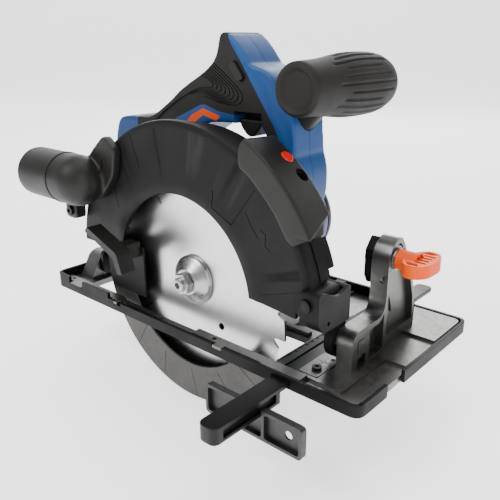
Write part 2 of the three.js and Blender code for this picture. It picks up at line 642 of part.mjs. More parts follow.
function depthLever() {
  const arm = alongY(outline([
    [4, -7, 3], [4, 7, 3], [-30, 12, 5], [-46, 15, 4], [-46, 7, 4], [-30, 0, 5],
  ]), 20, 27, 3, 1)
  return cut(join(arm, rodY(8, GUIDE.y1 + 0.5, 28, 0, 0, 20)), rodY(3.3, 10, 40, 0, 0))
    .translate(STUD.x, 0, STUD.z)
}

piece('depth_lever', depthLever(), 'black')

// ---------------------------------------------------------------- front handle
function auxGrip() {
  const profile = [
    [0, AUX.y0], [10, AUX.y0 + 1], [15.2, AUX.y0 + 4], [15.6, AUX.y0 + 9], [16.5, AUX.y0 + 24],
    [19.4, AUX.y0 + 46], [19.4, AUX.y0 + 70], [17.5, AUX.y0 + 86], [11, AUX.y1], [0, AUX.y1],
  ]
  const sleeve = turnedY(profile, AUX.x, AUX.z, 24)
  return cut(
    sleeve,
    rodY(9, AUX.y0 + 6, AUX.y1 - 8, AUX.x, AUX.z, 24),
    auxNeck(11.4),
  )
}

function auxNeck(radius) {
  const length = Math.hypot(AUX.x - AUX.rootX, AUX.z - AUX.rootZ)
  return rodZ(radius, 0, length, 0, 0, 20)
    .rotateY(Math.atan2(AUX.x - AUX.rootX, AUX.z - AUX.rootZ))
    .translate(AUX.rootX, SEAM, AUX.rootZ)
}

piece('aux_handle_core', join(
  rodY(8.6, AUX.y0 + 7, AUX.y1 - 9, AUX.x, AUX.z, 24),
  auxNeck(11),
  rodY(6, SEAM - 11.6, SEAM + 11.6, AUX.rootX, AUX.rootZ),
), 'black')
piece('aux_handle_grip', auxGrip(), 'rubber')

// ---------------------------------------------------------------- blade unit
function sawBlade() {
  const shape = new THREE.Shape()
  for (let i = 0; i < BLADE.teeth; i += 1) {
    const step = 2 * Math.PI / BLADE.teeth
    const corners = [
      [BLADE.radius, 0], [BLADE.radius - 1.4, 0.3], [BLADE.body, 0.72], [BLADE.body - 3, 0.95],
    ]
    corners.forEach(([radius, part], k) => {
      const angle = (i + part) * step
      const x = radius * Math.cos(angle)
      const z = radius * Math.sin(angle)
      if (i === 0 && k === 0) shape.moveTo(x, z)
      else shape.lineTo(x, z)
    })
  }
  const pinHole = new THREE.Vector2(24.9 - SPINDLE.x, 7.1 - SPINDLE.z)
  return cut(
    alongY(shape, -BLADE.half, BLADE.half),
    rodY(10, -3, 3, 0, 0, 24),
    rodY(2.5, -3, 3, pinHole.x, pinHole.y, 16),
  ).translate(SPINDLE.x, 0, SPINDLE.z)
}

piece('blade', sawBlade(), 'steel')
piece('inner_flange', turnedY([
  [5.2, -0.8], [9.7, -0.8], [9.7, 1.2], [17, 1.2], [17, 5], [12, 7.4], [5.2, 7.4], [5.2, -0.8],
], SPINDLE.x, SPINDLE.z), 'steel')
piece('outer_flange', turnedY([
  [5.2, -9.4], [9.6, -9.4], [16.6, -4.4], [17.6, -1.2], [5.2, -1.2], [5.2, -9.4],
], SPINDLE.x, SPINDLE.z), 'steel')
piece('arbor_bolt', cut(
  join(
    rodY(4.8, -11, 20, SPINDLE.x, SPINDLE.z),
    rodY(7.8, -14.4, -9.7, SPINDLE.x, SPINDLE.z, 6),
    turnedY([[0, -17.6], [3.8, -17.6], [5, -16.4], [5, -14], [0, -14]], SPINDLE.x, SPINDLE.z),
  ),
  rodY(2.4, -20, -14, SPINDLE.x, SPINDLE.z, 6),
), 'steel')
piece('spindle', turnedY([
  [5.2, 7.8], [8, 7.8], [8, 27.3], [5, 27.6], [5, 33.4], [0, 33.4], [0, 20.6], [5.2, 20.6], [5.2, 7.8],
], SPINDLE.x, SPINDLE.z, 24), 'steel')
piece('spindle_gear', toothedWheel(GEAR.teeth, 20, 27, 8.3, gearPhase)
  .translate(SPINDLE.x, 0, SPINDLE.z), 'darkSteel')

// ---------------------------------------------------------------- lower guard
function lowerGuard() {
  const { radius, near, far, start, end } = LOWER
  const rim = alongY(sector(radius - 1.8, radius, start, end), near, far, 12)
  const nearWall = alongY(sector(62, radius, start, end), near, near + 1.5, 12)
  const backWall = alongY(sector(24, radius, start, end), far - 1.5, far, 12)
  const hub = ringY(21.8, 30, far - 1.5, far, 0, 0, 24)
  const endPlate = common(
    rodY(radius, near, near + 1.5, 0, 0, ROUND),
    box(-90, -44.5, near - 1, near + 3, -24, 15.2),
  )
  return join(rim, nearWall, backWall, hub, endPlate).translate(SPINDLE.x, 0, SPINDLE.z)
}

piece('lower_guard', lowerGuard(), 'casting')
piece('guard_lever', join(
  alongY(outline([
    [-76.5, 63, 1], [-74, 66.8, 1], [-41, 54, 3], [-36, 39.5, 1], [-41, 38.5, 1], [-45.5, 50, 3],
  ]), -36, -24, 3),
  box(-58, -47, -25, LOWER.near - GAP, 44, 55),
), 'black')

// ---------------------------------------------------------------- rip fence
function fenceBar() {
  const { x0, x1, y0, y1, top } = FENCE
  const rounded = alongZ(outline([[x0, y0, 5], [x1, y0, 5], [x1, y1, 5], [x0, y1, 5]]), -5, top, 4, 0.4)
  return cut(
    rounded,
    box(x0 - 1, x1 + 1, -32, y1 + 1, -6, FENCE.under),
    box(x0 - 1, x0 + 2.5, y0 + 7, -36, -2.6, 2.6),
    box(x1 - 2.5, x1 + 1, y0 + 7, -36, -2.6, 2.6),
  )
}

function fencePlate() {
  const side = outline([[58.5, -20, 3], [130, -20, 3], [130, -0.4, 3], [58.5, -0.4, 3]])
  const cells = [[60.5, 86], [104, 128]].map(([x0, x1]) => box(x0, x1, -51, -47, -18, -2.4))
  return cut(
    alongY(side, -50, -45.6, 3),
    ...cells,
    box(88, 102, -51, -47, -18, -2.4),
    box(FENCE.x0 - GAP, FENCE.x1 + GAP, -51, -45, -5 - GAP, 1),
    rodY(2.7, -51, -45, 119, -10.2, 20),
  )
}

piece('fence_bar', fenceBar(), 'black')
piece('fence_plate', fencePlate(), 'darkSteel')

export default saw
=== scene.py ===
"""The looks of a cordless circular saw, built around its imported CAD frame.

Shapes are drawn in millimetres in the blade's frame, as in part.mjs: y = 0 is the blade's plane,
z = 0 the sole, +X the cutting direction. `place` turns them into the row frame's metres.
"""

import math

import bmesh
import bpy
from mathutils import Matrix, Vector


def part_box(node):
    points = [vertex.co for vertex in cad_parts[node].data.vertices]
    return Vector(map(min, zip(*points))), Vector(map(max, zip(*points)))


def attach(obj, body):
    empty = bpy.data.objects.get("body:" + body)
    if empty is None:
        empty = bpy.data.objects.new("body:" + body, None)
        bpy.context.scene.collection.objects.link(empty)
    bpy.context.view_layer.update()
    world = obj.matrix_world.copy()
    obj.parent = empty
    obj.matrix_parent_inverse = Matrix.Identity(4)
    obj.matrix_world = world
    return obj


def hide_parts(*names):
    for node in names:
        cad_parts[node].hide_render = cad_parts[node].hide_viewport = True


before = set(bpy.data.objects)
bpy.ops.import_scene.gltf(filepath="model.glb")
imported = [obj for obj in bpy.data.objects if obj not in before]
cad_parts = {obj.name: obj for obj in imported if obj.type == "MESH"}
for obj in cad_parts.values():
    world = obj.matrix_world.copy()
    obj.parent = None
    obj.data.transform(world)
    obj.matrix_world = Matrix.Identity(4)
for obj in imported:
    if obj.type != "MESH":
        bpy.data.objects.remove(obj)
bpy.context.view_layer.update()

# main sizes in millimetres, angles in degrees
MM = 0.001
blade_low, blade_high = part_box("blade")
BLADE_Y = (blade_low.y + blade_high.y) / 2
SPINDLE_X = round((blade_low.x + blade_high.x) / 2 / MM, 1)
SPINDLE_Z = round((blade_low.z + blade_high.z) / 2 / MM, 2)
GAP = 0.3
GUARD_NEAR, GUARD_FAR, GUARD_R, GUARD_WALL, GUARD_WINDOW = -15, 13, 110.2, 2.5, 63
LOWER_NEAR, LOWER_FAR, LOWER_R, LOWER_FROM, LOWER_TO = -9.7, 9, 87.6, 170, 328
BASE_X0, BASE_X1, BASE_Y0, BASE_Y1, SKIRT = -142.4, 148.5, -24.4, 117.4, 2.4
BLADE_R, GULLET_R, TEETH, BLADE_HALF = 82.5, 79.2, 24, 0.9
MOTOR_X, MOTOR_Z, MOTOR_R = 8, 63, 36
BEVEL_Y, BEVEL_Z = 14, 18
DEPTH_X, DEPTH_Z, DEPTH_ARC = 108.5, 54, 170.6
KNOB_Y, KNOB_Z = 54, 65
BOLT_ARC = 61.7
SEAM, GRIP_HALF = 38, 17
HANDLE_NEAR, HANDLE_FAR = SEAM - GRIP_HALF, SEAM + GRIP_HALF
AUX_X, AUX_Z, AUX_Y0, AUX_Y1 = 76.5, 166, 8, 103
ROOT_X, ROOT_Z, NECK_R = 52, 141.5, 11
PORT_Y, PORT_Z, PORT_R, PORT_BORE, PORT_X0, PORT_ELBOW = -29, 97.5, 18.5, 15.6, -142, -88
PORT_SCREW, PORT_THROAT = (-111, 70), (-78, 98)
LASER_ANGLE, BUTTON_ANGLE, BUTTON_Y, LENS_Y = 44.5, 51, 3, 4
LOCK_KEY = (-6, 17)
SWING_X0, SWING_X1 = 105, 110.7
PAD_X = (-128, -98, 34)
CLAMP_SCREW = (106, -3)
FENCE_X0, FENCE_X1, FENCE_Y0, FENCE_Y1, FENCE_TOP, FENCE_UNDER = 88.5, 101.5, -86, 164, 5.4, 2
STUD_X, STUD_Z = -62, 48


# ---------------------------------------------------------------- meshes
def place(x, y, z):
    return (x * MM, y * MM + BLADE_Y, z * MM)


def new_object(name, mesh):
    obj = bpy.data.objects.new(name, mesh)
    bpy.context.collection.objects.link(obj)
    return obj


def solid(name, points, faces):
    mesh = bpy.data.meshes.new(name)
    mesh.from_pydata([place(*p) for p in points], [], faces)
    mesh.validate()
    work = bmesh.new()
    work.from_mesh(mesh)
    bmesh.ops.remove_doubles(work, verts=work.verts, dist=1e-7)
    bmesh.ops.recalc_face_normals(work, faces=work.faces)
    work.to_mesh(mesh)
    work.free()
    return new_object(name, mesh)


def rounded(points, steps=6):
    """An outline of (a, b, radius), each corner rounded by its own radius."""
    path = []
    count = len(points)
    for i, corner in enumerate(points):
        here = Vector(corner[:2])
        radius = corner[2] if len(corner) > 2 else 0
        before = Vector(points[i - 1][:2])
        after = Vector(points[(i + 1) % count][:2])
        if not radius:
            path.append(tuple(here))
            continue
        back = before - here
        ahead = after - here
        start = here + back.normalized() * min(radius, back.length * 0.48)
        end = here + ahead.normalized() * min(radius, ahead.length * 0.48)
        for k in range(steps + 1):
            t = k / steps
            path.append(tuple(start * (1 - t) ** 2 + here * (2 * t * (1 - t)) + end * t ** 2))
    return path


def arc(radius, start, stop, steps, centre=(0, 0)):
    return [(centre[0] + radius * math.cos(math.radians(start + (stop - start) * k / steps)),
             centre[1] + radius * math.sin(math.radians(start + (stop - start) * k / steps)))
            for k in range(steps + 1)]


def sector(inner, outer, start, stop, centre=(0, 0), steps=72):
    ring = arc(outer, start, stop, steps, centre)
    if inner <= 0:
        return ring + [centre]
    return ring + arc(inner, stop, start, steps, centre)


AXES = {"x": lambda a, b, c: (c, a, b), "y": lambda a, b, c: (a, c, b), "z": lambda a, b, c: (a, b, c)}


def prism(name, outline, axis, low, high):
    """An outline extruded along an axis, from low to high."""
    put = AXES[axis]
    count = len(outline)
    points = [put(a, b, low) for a, b in outline] + [put(a, b, high) for a, b in outline]
    faces = [list(range(count)), list(range(count, 2 * count))]
    faces += [[i, (i + 1) % count, count + (i + 1) % count, count + i] for i in range(count)]
    return solid(name, points, faces)


def block(x0, x1, y0, y1, z0, z1, name="block"):
    return prism(name, [(x0, y0), (x1, y0), (x1, y1), (x0, y1)], "z", z0, z1)


def lathe(name, profile, axis, centre, steps=64, closed=False):
    """A profile of (radius, height) turned about an axis through `centre`."""
    put = AXES[axis]
    points, faces = [], []
    rows = len(profile)
    for radius, height in profile:
        for k in range(steps):
            angle = 2 * math.pi * k / steps
            across = centre[0] + radius * math.cos(angle)
            points.append(put(across, centre[1] + radius * math.sin(angle), height))
    last = rows if closed else rows - 1
    for i in range(last):
        j = (i + 1) % rows
        for k in range(steps):
            n = (k + 1) % steps
            faces.append([i * steps + k, i * steps + n, j * steps + n, j * steps + k])
    if not closed:
        faces += [list(range(steps)), list(range((rows - 1) * steps, rows * steps))]
    return solid(name, points, faces)


def rod(radius, axis, low, high, centre, steps=40, name="rod"):
    return lathe(name, [(radius, low), (radius, high)], axis, centre, steps)


def ring(inner, outer, axis, low, high, centre, steps=96, name="ring"):
    return lathe(name, [(inner, low), (outer, low), (outer, high), (inner, high)], axis, centre, steps, True)


def turn(obj, axis, degrees, x, y, z):
    """Turns a piece's mesh about an axis through a point."""
    pivot = Vector(place(x, y, z))
    rotation = Matrix.Rotation(math.radians(degrees), 4, axis)
    obj.data.transform(Matrix.Translation(pivot) @ rotation @ Matrix.Translation(-pivot))
    return obj


def spoke(radius, r0, r1, angle, y, steps=32, name="spoke"):
    """A rod along a spoke of the guard, at `angle` degrees above +X."""
    made = rod(radius, "x", SPINDLE_X + r0, SPINDLE_X + r1, (y, SPINDLE_Z), steps, name)
    return turn(made, "Y", -angle, SPINDLE_X, 0, SPINDLE_Z)


def settle(obj):
    """Turns an object's modifiers into its mesh."""
    graph = bpy.context.evaluated_depsgraph_get()
    mesh = bpy.data.meshes.new_from_object(obj.evaluated_get(graph))
    obj.modifiers.clear()
    obj.data = mesh
    return obj


def combine(obj, tools, operation):
    for tool in tools:
        change = obj.modifiers.new("join", "BOOLEAN")
        change.operation = operation
        change.solver = "MANIFOLD"
        change.object = tool
        settle(obj)
        bpy.data.objects.remove(tool, do_unlink=True)
    return obj


def cut(obj, *tools):
    return combine(obj, tools, "DIFFERENCE")


def join(obj, *tools):
    return combine(obj, tools, "UNION")


def common(obj, *tools):
    return combine(obj, tools, "INTERSECT")


def melt(obj, voxel, passes):
    """Rounds every edge as a moulded part has: a fine remesh, then smoothing."""
    remesh = obj.modifiers.new("remesh", "REMESH")
    remesh.mode = "VOXEL"
    remesh.voxel_size = voxel * MM
    relax = obj.modifiers.new("smooth", "SMOOTH")
    relax.factor = 0.5
    relax.iterations = passes
    return settle(obj)


def edges(obj, width=0.5, segments=2, angle=32):
    """Breaks the sharp edges."""
    for face in obj.data.polygons:
        face.use_smooth = True
    bevel = obj.modifiers.new("edges", "BEVEL")
    bevel.width = width * MM
    bevel.segments = segments
    bevel.limit_method = "ANGLE"
    bevel.angle_limit = math.radians(angle)
    bevel.use_clamp_overlap = True
    bevel.harden_normals = True
    return obj


def smooth(obj, angle=35):
    obj.data.shade_smooth()
    obj.data.set_sharp_from_angle(angle=math.radians(angle))
    return obj


# ---------------------------------------------------------------- materials
def srgb(r, g, b):
    return tuple(((c / 255 + 0.055) / 1.055) ** 2.4 if c > 10 else c / 255 / 12.92 for c in (r, g, b)) + (1,)


class Surface:
    """A Principled material whose colour, roughness and bump come from object-space noise."""

    def __init__(self, name, colour, roughness, metallic=0.0):
        self.material = bpy.data.materials.new(name)
        self.material.use_nodes = True
        self.tree = self.material.node_tree
        self.shader = self.tree.nodes["Principled BSDF"]
        self.shader.inputs["Metallic"].default_value = metallic
        self.coords = self.node("ShaderNodeTexCoord").outputs["Object"]
        self.colour = colour
        self.roughness = roughness

    def node(self, kind, **settings):
        made = self.tree.nodes.new(kind)
        for key, value in settings.items():
            setattr(made, key, value)
        return made

    def link(self, source, target):
        self.tree.links.new(source, target)

    def stretched(self, scale):
        mapping = self.node("ShaderNodeMapping")
        mapping.inputs["Scale"].default_value = scale
        self.link(self.coords, mapping.inputs["Vector"])
        return mapping.outputs["Vector"]

    def noise(self, scale, detail=3.0, stretch=(1, 1, 1)):
        made = self.node("ShaderNodeTexNoise")
        made.inputs["Scale"].default_value = scale
        made.inputs["Detail"].default_value = detail
        self.link(self.stretched(stretch), made.inputs["Vector"])
        return made.outputs["Fac"]

    def spread(self, source, low, high):
        made = self.node("ShaderNodeMapRange")
        made.inputs["From Min"].default_value = 0.3
        made.inputs["From Max"].default_value = 0.7
        made.inputs["To Min"].default_value = low
        made.inputs["To Max"].default_value = high
        self.link(source, made.inputs["Value"])
        return made.outputs["Result"]

    def mottle(self, scale=40, amount=0.12, stretch=(1, 1, 1)):
        ramp = self.node("ShaderNodeMix", data_type="RGBA")
        dark = [c * (1 - amount) for c in self.colour[:3]] + [1]
        light = [min(1, c * (1 + amount)) for c in self.colour[:3]] + [1]
        ramp.inputs["A"].default_value = dark
        ramp.inputs["B"].default_value = light
        self.link(self.spread(self.noise(scale, 4, stretch), 0, 1), ramp.inputs["Factor"])
        self.link(ramp.outputs["Result"], self.shader.inputs["Base Color"])
        return self

    def polish(self, scale=60, amount=0.08, stretch=(1, 1, 1)):
        varied = self.spread(self.noise(scale, 3, stretch), self.roughness - amount, self.roughness + amount)
        self.link(varied, self.shader.inputs["Roughness"])
        return self

    def grain(self, scale=1500, depth=0.02, strength=0.25, stretch=(1, 1, 1)):
        bump = self.node("ShaderNodeBump")
        bump.inputs["Strength"].default_value = strength
        bump.inputs["Distance"].default_value = depth * MM
        self.link(self.noise(scale, 2, stretch), bump.inputs["Height"])
        self.link(bump.outputs["Normal"], self.shader.inputs["Normal"])
        return self


def moulded(name, colour, roughness, strength, specular=0.32):
    made = Surface(name, colour, roughness)
    made.shader.inputs["Specular IOR Level"].default_value = specular
    return made.mottle(30, 0.08).polish(50, 0.06).grain(1400, 0.03, strength).material


def metal(name, colour, roughness, stretch=(1, 1, 1), scale=200, strength=0.2):
    made = Surface(name, colour, roughness, 1.0)
    made.mottle(60, 0.08).polish(scale, 0.07, stretch).grain(scale * 2, 0.02, strength, stretch)
    return made.material


def brushed_disc(name, colour, roughness):
    """Steel ground in circles round the spindle: the noise follows the radius."""
    made = Surface(name, colour, roughness, 1.0)
    centred = made.node("ShaderNodeVectorMath", operation="SUBTRACT")
    centred.inputs[1].default_value = place(SPINDLE_X, 0, SPINDLE_Z)
    made.link(made.coords, centred.inputs[0])
    length = made.node("ShaderNodeVectorMath", operation="LENGTH")
    made.link(centred.outputs["Vector"], length.inputs[0])
    rings = made.node("ShaderNodeTexNoise", noise_dimensions="1D")
    rings.inputs["Scale"].default_value = 2600
    rings.inputs["Detail"].default_value = 3
    made.link(length.outputs["Value"], rings.inputs["W"])
    varied = made.spread(rings.outputs["Fac"], roughness - 0.02, roughness + 0.03)
    made.link(varied, made.shader.inputs["Roughness"])
    bump = made.node("ShaderNodeBump")
    bump.inputs["Strength"].default_value = 0.05
    bump.inputs["Distance"].default_value = 0.01 * MM
    made.link(rings.outputs["Fac"], bump.inputs["Height"])
    made.link(bump.outputs["Normal"], made.shader.inputs["Normal"])
    tangent = made.node("ShaderNodeTangent", direction_type="RADIAL", axis="Y")
    made.link(tangent.outputs["Tangent"], made.shader.inputs["Tangent"])
    made.shader.inputs["Anisotropic"].default_value = 0.4
    return made.mottle(90, 0.04).material


MATERIALS = {
    "casting": metal("die_cast", srgb(110, 110, 108), 0.38, scale=260, strength=0.12),
    "black_steel": moulded("black_coating", srgb(12, 12, 12), 0.52, 0.12, 0.16),
    "bar_steel": moulded("black_bar", srgb(12, 12, 12), 0.38, 0.1, 0.24),
    "black_plastic": moulded("black_plastic", srgb(23, 22, 20), 0.48, 0.25),
    "guard_plastic": moulded("guard_plastic", srgb(12, 12, 11), 0.54, 0.25, 0.2),
    "grip_rubber": moulded("grip_rubber", srgb(24, 22, 20), 0.66, 0.45),
    "blue_plastic": moulded("blue_plastic", srgb(14, 66, 124), 0.42, 0.1),
    "orange_plastic": moulded("orange_plastic", srgb(234, 80, 0), 0.5, 0.1, 0.2),
    "red_plastic": moulded("red_plastic", srgb(204, 18, 14), 0.28, 0.08),
    "steel": metal("turned_steel", srgb(176, 176, 176), 0.32, scale=500, strength=0.05),
    "plate_steel": metal("spring_plate", srgb(112, 112, 110), 0.42, scale=400, strength=0.06),
    "black_screw": metal("black_screw", srgb(52, 52, 52), 0.42, scale=400, strength=0.1),
    "dark_steel": metal("black_oxide", srgb(46, 46, 46), 0.42, scale=400, strength=0.1),
    "fence_steel": metal("fence_sheet", srgb(74, 74, 74), 0.5, scale=300, strength=0.1),
    "grey_steel": metal("guard_sheet", srgb(82, 81, 79), 0.5, scale=300, strength=0.1),
    "copper": metal("enamelled_copper", srgb(190, 110, 60), 0.35, (40, 1, 40), 80, 0.5),
    "lens": moulded("lens", srgb(14, 14, 16), 0.12, 0.05),
    "blade_steel": brushed_disc("ground_blade", srgb(216, 216, 216), 0.3),
}


def dress(obj, material, body, *nodes):
    """Gives a piece its material and its body, and hides the CAD nodes that it stands for."""
    obj.data.materials.clear()
    obj.data.materials.append(MATERIALS[material])
    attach(obj, body)
    if nodes:
        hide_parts(*nodes)
    return obj


# ---------------------------------------------------------------- upper guard
def guard_envelope(grow):
    return lathe("envelope", [
        (0.01, GUARD_NEAR - grow), (GUARD_R - 2.5 + grow, GUARD_NEAR - grow),
        (GUARD_R - 0.6 + grow, GUARD_NEAR + 0.9), (GUARD_R + grow, GUARD_NEAR + 3),
        (GUARD_R - 4.5 + grow, GUARD_FAR + grow), (0.01, GUARD_FAR + grow),
    ], "y", (SPINDLE_X, SPINDLE_Z), 160)


def upper_guard():
    centre = (SPINDLE_X, SPINDLE_Z)
    rim = lathe("upper_guard_shell", [
        (GUARD_R - 5, GUARD_NEAR), (GUARD_R - 2.5, GUARD_NEAR), (GUARD_R - 0.6, GUARD_NEAR + 0.9),
        (GUARD_R, GUARD_NEAR + 3), (GUARD_R - 4.5, GUARD_FAR), (GUARD_R - 7.3, GUARD_FAR),
        (GUARD_R - 3, GUARD_NEAR + GUARD_WALL), (GUARD_R - 5, GUARD_NEAR + GUARD_WALL),
    ], "y", centre, 160, True)
    near_wall = lathe("near", [
        (GUARD_WINDOW, GUARD_NEAR - 0.1), (64.6, GUARD_NEAR - 0.5), (70.4, GUARD_NEAR - 0.5),
        (73.6, GUARD_NEAR), (GUARD_R - 4, GUARD_NEAR), (GUARD_R - 4, GUARD_NEAR + GUARD_WALL),
        (GUARD_WINDOW, GUARD_NEAR + GUARD_WALL),
    ], "y", centre, 160, True)
    below = rounded([
        (-130, 46), (-69, 46), (-64, 41), (-40, 20), (40, 20), (58, 44), (66, 44), (98, 41), (98, 48),
        (130, 48), (130, -120), (-130, -120)])
    front = join(rim, near_wall)
    cut(front, prism("below", below, "y", GUARD_NEAR - 5, GUARD_FAR - 3.2))
    cut(front, block(-130, 130, GUARD_FAR - 4, GUARD_FAR + 1, -120, 44))
    back = rod(GUARD_R - 6, "y", GUARD_FAR - GUARD_WALL, GUARD_FAR, centre, 160)
    cut(back, block(-130, 130, 0, 30, -120, 44))
    join(back, rod(30, "y", GUARD_FAR - GUARD_WALL, GUARD_FAR, centre, 96))
    join(front, back)
    tongue = join(
        block(97, DEPTH_X, GUARD_NEAR, 7.5, DEPTH_Z - 6, DEPTH_Z + 6),
        rod(6, "y", GUARD_NEAR, 7.5, (DEPTH_X, DEPTH_Z)))
    sleeve = prism("sleeve", sector(100, GUARD_R - 1.1, 14, 26.5, centre), "y", -2, GUARD_FAR)
    join(front, tongue, sleeve)
    cut(front,
        block(96.5, 125, 7.5, 20, 30, 67),
        rod(22, "y", 5, 20, centre, 96),
        rod(3.3, "y", -20, 20, (DEPTH_X, DEPTH_Z)),
        rod(6.4, "y", GUARD_NEAR - 5, GUARD_NEAR + 4, PORT_THROAT),
        rod(3.3, "y", 5, 20, (STUD_X, STUD_Z)))
    return guard_lines(front)


def groove(x0, z0, x1, z1, width=0.55, depth=0.35, face=GUARD_NEAR):
    """A straight panel line, cut into the near face of either guard."""
    length = math.hypot(x1 - x0, z1 - z0)
    line = block(0, length, face - 3, face + depth, -width / 2, width / 2)
    lean = Matrix.Rotation(-math.atan2(z1 - z0, x1 - x0), 4, "Y")
    line.data.transform(Matrix.Translation((x0 * MM, 0, z0 * MM)) @ lean)
    return line


def polar(radius, angle):
    """A point round the spindle, as (x, z)."""
    turned = math.radians(angle)
    return (SPINDLE_X + radius * math.cos(turned), SPINDLE_Z + radius * math.sin(turned))


def guard_lines(guard):
    """Panel outlines and a plain arrow in the near face, each a chain of (x, z)."""
    chains = [
        [(33.5, 106.8), (32.7, 95.7), (48.6, 87.7), (67.4, 112.1)],
        [(60.1, 97.5), (63.6, 91.4), (69.7, 83.5)],
        [(71.2, 89.1), (75.4, 87), (75, 80.1), (79.2, 77.3)],
        [(72.3, 48.8), (98.2, 57.7)],
        [(-36, 111), (-44, 133)],
        [(-62, 79), (-66, 96)],
    ]
    lines = [groove(*a, *b) for chain in chains for a, b in zip(chain, chain[1:])]
    return cut(guard, *lines)


dress(edges(upper_guard(), 0.7, 3), "guard_plastic", "head", "upper_guard")


def laser_cover():
    side = rounded([
        (57.3, 124, 3), (66, 119.4, 5), (84, 101.6, 8), (92, 88.6, 4), (97, 84.6, 3), (101.5, 88, 3),
        (113.6, 91, 3), (115.6, 108, 6), (104, 125.4, 12), (86, 140, 12), (66, 145, 8), (57, 136, 4)])
    hull = prism("laser_cover_hood", side, "y", GUARD_NEAR - 3.4, 10)
    common(hull, lathe("keep", [(0.01, -30), (123.6, -30), (119.8, 20), (0.01, 20)], "y",
                       (SPINDLE_X, SPINDLE_Z), 160))
    cut(hull, turn(block(99, 130, -30, 30, 60, 91.5), "X", 17, 112, GUARD_NEAR, 91.5))
    melt(hull, 0.7, 7)
    hull.data.transform(Matrix.Translation((0, -GAP * MM, 0)))
    cut(hull, guard_envelope(GAP),
        spoke(4.6, 112, 130, BUTTON_ANGLE, BUTTON_Y), spoke(4.5, 113, 130, LASER_ANGLE, LENS_Y),
        turn(block(107, 125, -9, 2, 99, 101.4), "X", 17, 111, -9, 99))
    return hull


dress(smooth(laser_cover(), 50), "black_plastic", "head", "laser_cover")
dress(edges(spoke(4.2, 114.4, 117.2, LASER_ANGLE, LENS_Y, 48, "laser_window"), 0.4),
      "lens", "head", "laser_lens")


def laser_button():
    cap = spoke(4.2, 115.5, 121.6, BUTTON_ANGLE, BUTTON_Y, 64, "laser_switch_cap")
    return edges(cap, 1.2, 4)


dress(laser_button(), "red_plastic", "laser_button", "laser_button")


def dust_port():
    outer = rod(PORT_R, "x", PORT_X0, PORT_ELBOW, (PORT_Y, PORT_Z), 96, "dust_port_elbow")
    dome = [(max(0.05, PORT_R * math.sin(math.pi * k / 24)), PORT_ELBOW - PORT_R * math.cos(math.pi * k / 24))
            for k in range(25)]
    ball = lathe("ball", dome, "x", (PORT_Y, PORT_Z), 96)
    panel = prism("panel", rounded([
        (-94, 88, 4), (-74, 84, 4), (-58, 103, 4), (-54, 122, 4), (-66, 131, 4), (-82, 118, 3),
        (-94, 104, 3)]), "y", -21.5, GUARD_NEAR)
    neck = rod(15, "y", PORT_Y, GUARD_NEAR, (-84, PORT_Z), 64)
    ear = rounded([(-118, 64, 3), (-104, 64, 3), (-104, 84, 2), (-118, 84, 2)])
    boss = prism("boss", ear, "y", -24, GUARD_NEAR)
    join(outer, ball, panel, neck, boss)
    melt(outer, 0.8, 14)
    join(outer, ring(17, 18.9, "x", -104, -102, (PORT_Y, PORT_Z)))
    cut(outer, guard_envelope(GAP),
        rod(PORT_BORE, "x", PORT_X0 - 1, PORT_ELBOW, (PORT_Y, PORT_Z), 96),
        rod(9, "x", PORT_ELBOW - 2, PORT_THROAT[0] + 2, (PORT_Y, PORT_Z)),
        rod(6.4, "y", PORT_Y, GUARD_NEAR + 1, PORT_THROAT),
        rod(2.2, "y", -30, -14, PORT_SCREW),
        turn(block(-71, -70, -24, -20.6, 100, 113), "Y", 12, -70, 0, 106))
    return outer


dress(smooth(dust_port(), 50), "black_plastic", "head", "dust_port")


def screw_head(name, radius, axis, low, high, centre, outward):
    """A round head with a six-pointed recess in its outward end."""
    head = rod(radius, axis, low, high, centre, 48, name)
    star = []
    for k in range(24):
        reach = radius * (0.5 if k % 4 < 2 else 0.36)
        angle = 2 * math.pi * k / 24
        star.append((centre[0] + reach * math.cos(angle), centre[1] + reach * math.sin(angle)))
    depth = (high - low) * 0.6
    ends = (high - depth, high + 2) if outward > 0 else (low - 2, low + depth)
    return edges(cut(head, prism("star", star, axis, *ends)), 0.3)


dress(screw_head("dust_port_fixing", 3.6, "y", -26, -24.3, PORT_SCREW, -1),
      "black_screw", "head", "dust_port_screw")


def aux_neck(radius, name="neck"):
    """A rod from the main handle up to the front handle."""
    length = math.hypot(AUX_X - ROOT_X, AUX_Z - ROOT_Z)
    made = rod(radius, "z", 0, length, (0, 0), 64, name)
    lean = math.degrees(math.atan2(AUX_X - ROOT_X, AUX_Z - ROOT_Z))
    turn(made, "Y", lean, 0, 0, 0)
    made.data.transform(Matrix.Translation((ROOT_X * MM, SEAM * MM, ROOT_Z * MM)))
    return made


# ---------------------------------------------------------------- handle
HANDLE = [
    (-108, 104, 4), (-109, 121, 5), (-103, 137, 6), (-90, 139, 10), (-66, 139, 8), (-43, 152.5, 10),
    (-31, 161.5, 10), (-9, 172.5, 12), (1, 180, 8), (4.5, 188, 6), (6, 197, 5), (13, 197.3, 5), (23, 189, 8),
    (33, 176.5, 8), (58, 139, 12), (68.5, 122, 12), (70.5, 104, 12), (66, 86, 10), (60, 62, 6), (44, 56),
    (-30, 74), (-40, 90, 8), (-82, 96, 8)]
HOLE = [
    (-60, 107, 6), (-6, 140.6, 8), (35, 142.3, 5), (44, 139, 5), (47, 126, 5), (48.4, 104, 7), (-54, 101, 6)]
SADDLE = [(33, 178), (46, 174.2, 7), (65, 150, 8), (66.8, 126), (50, 126)]


def handle_body():
    body = prism("handle", rounded(HANDLE, 10), "y", HANDLE_NEAR, HANDLE_FAR)
    cut(body, prism("hole", rounded(HOLE, 10), "y", 10, 70))
    join(body, prism("saddle", rounded(SADDLE, 6), "y", 22, 54))
    return melt(body, 1.0, 14)


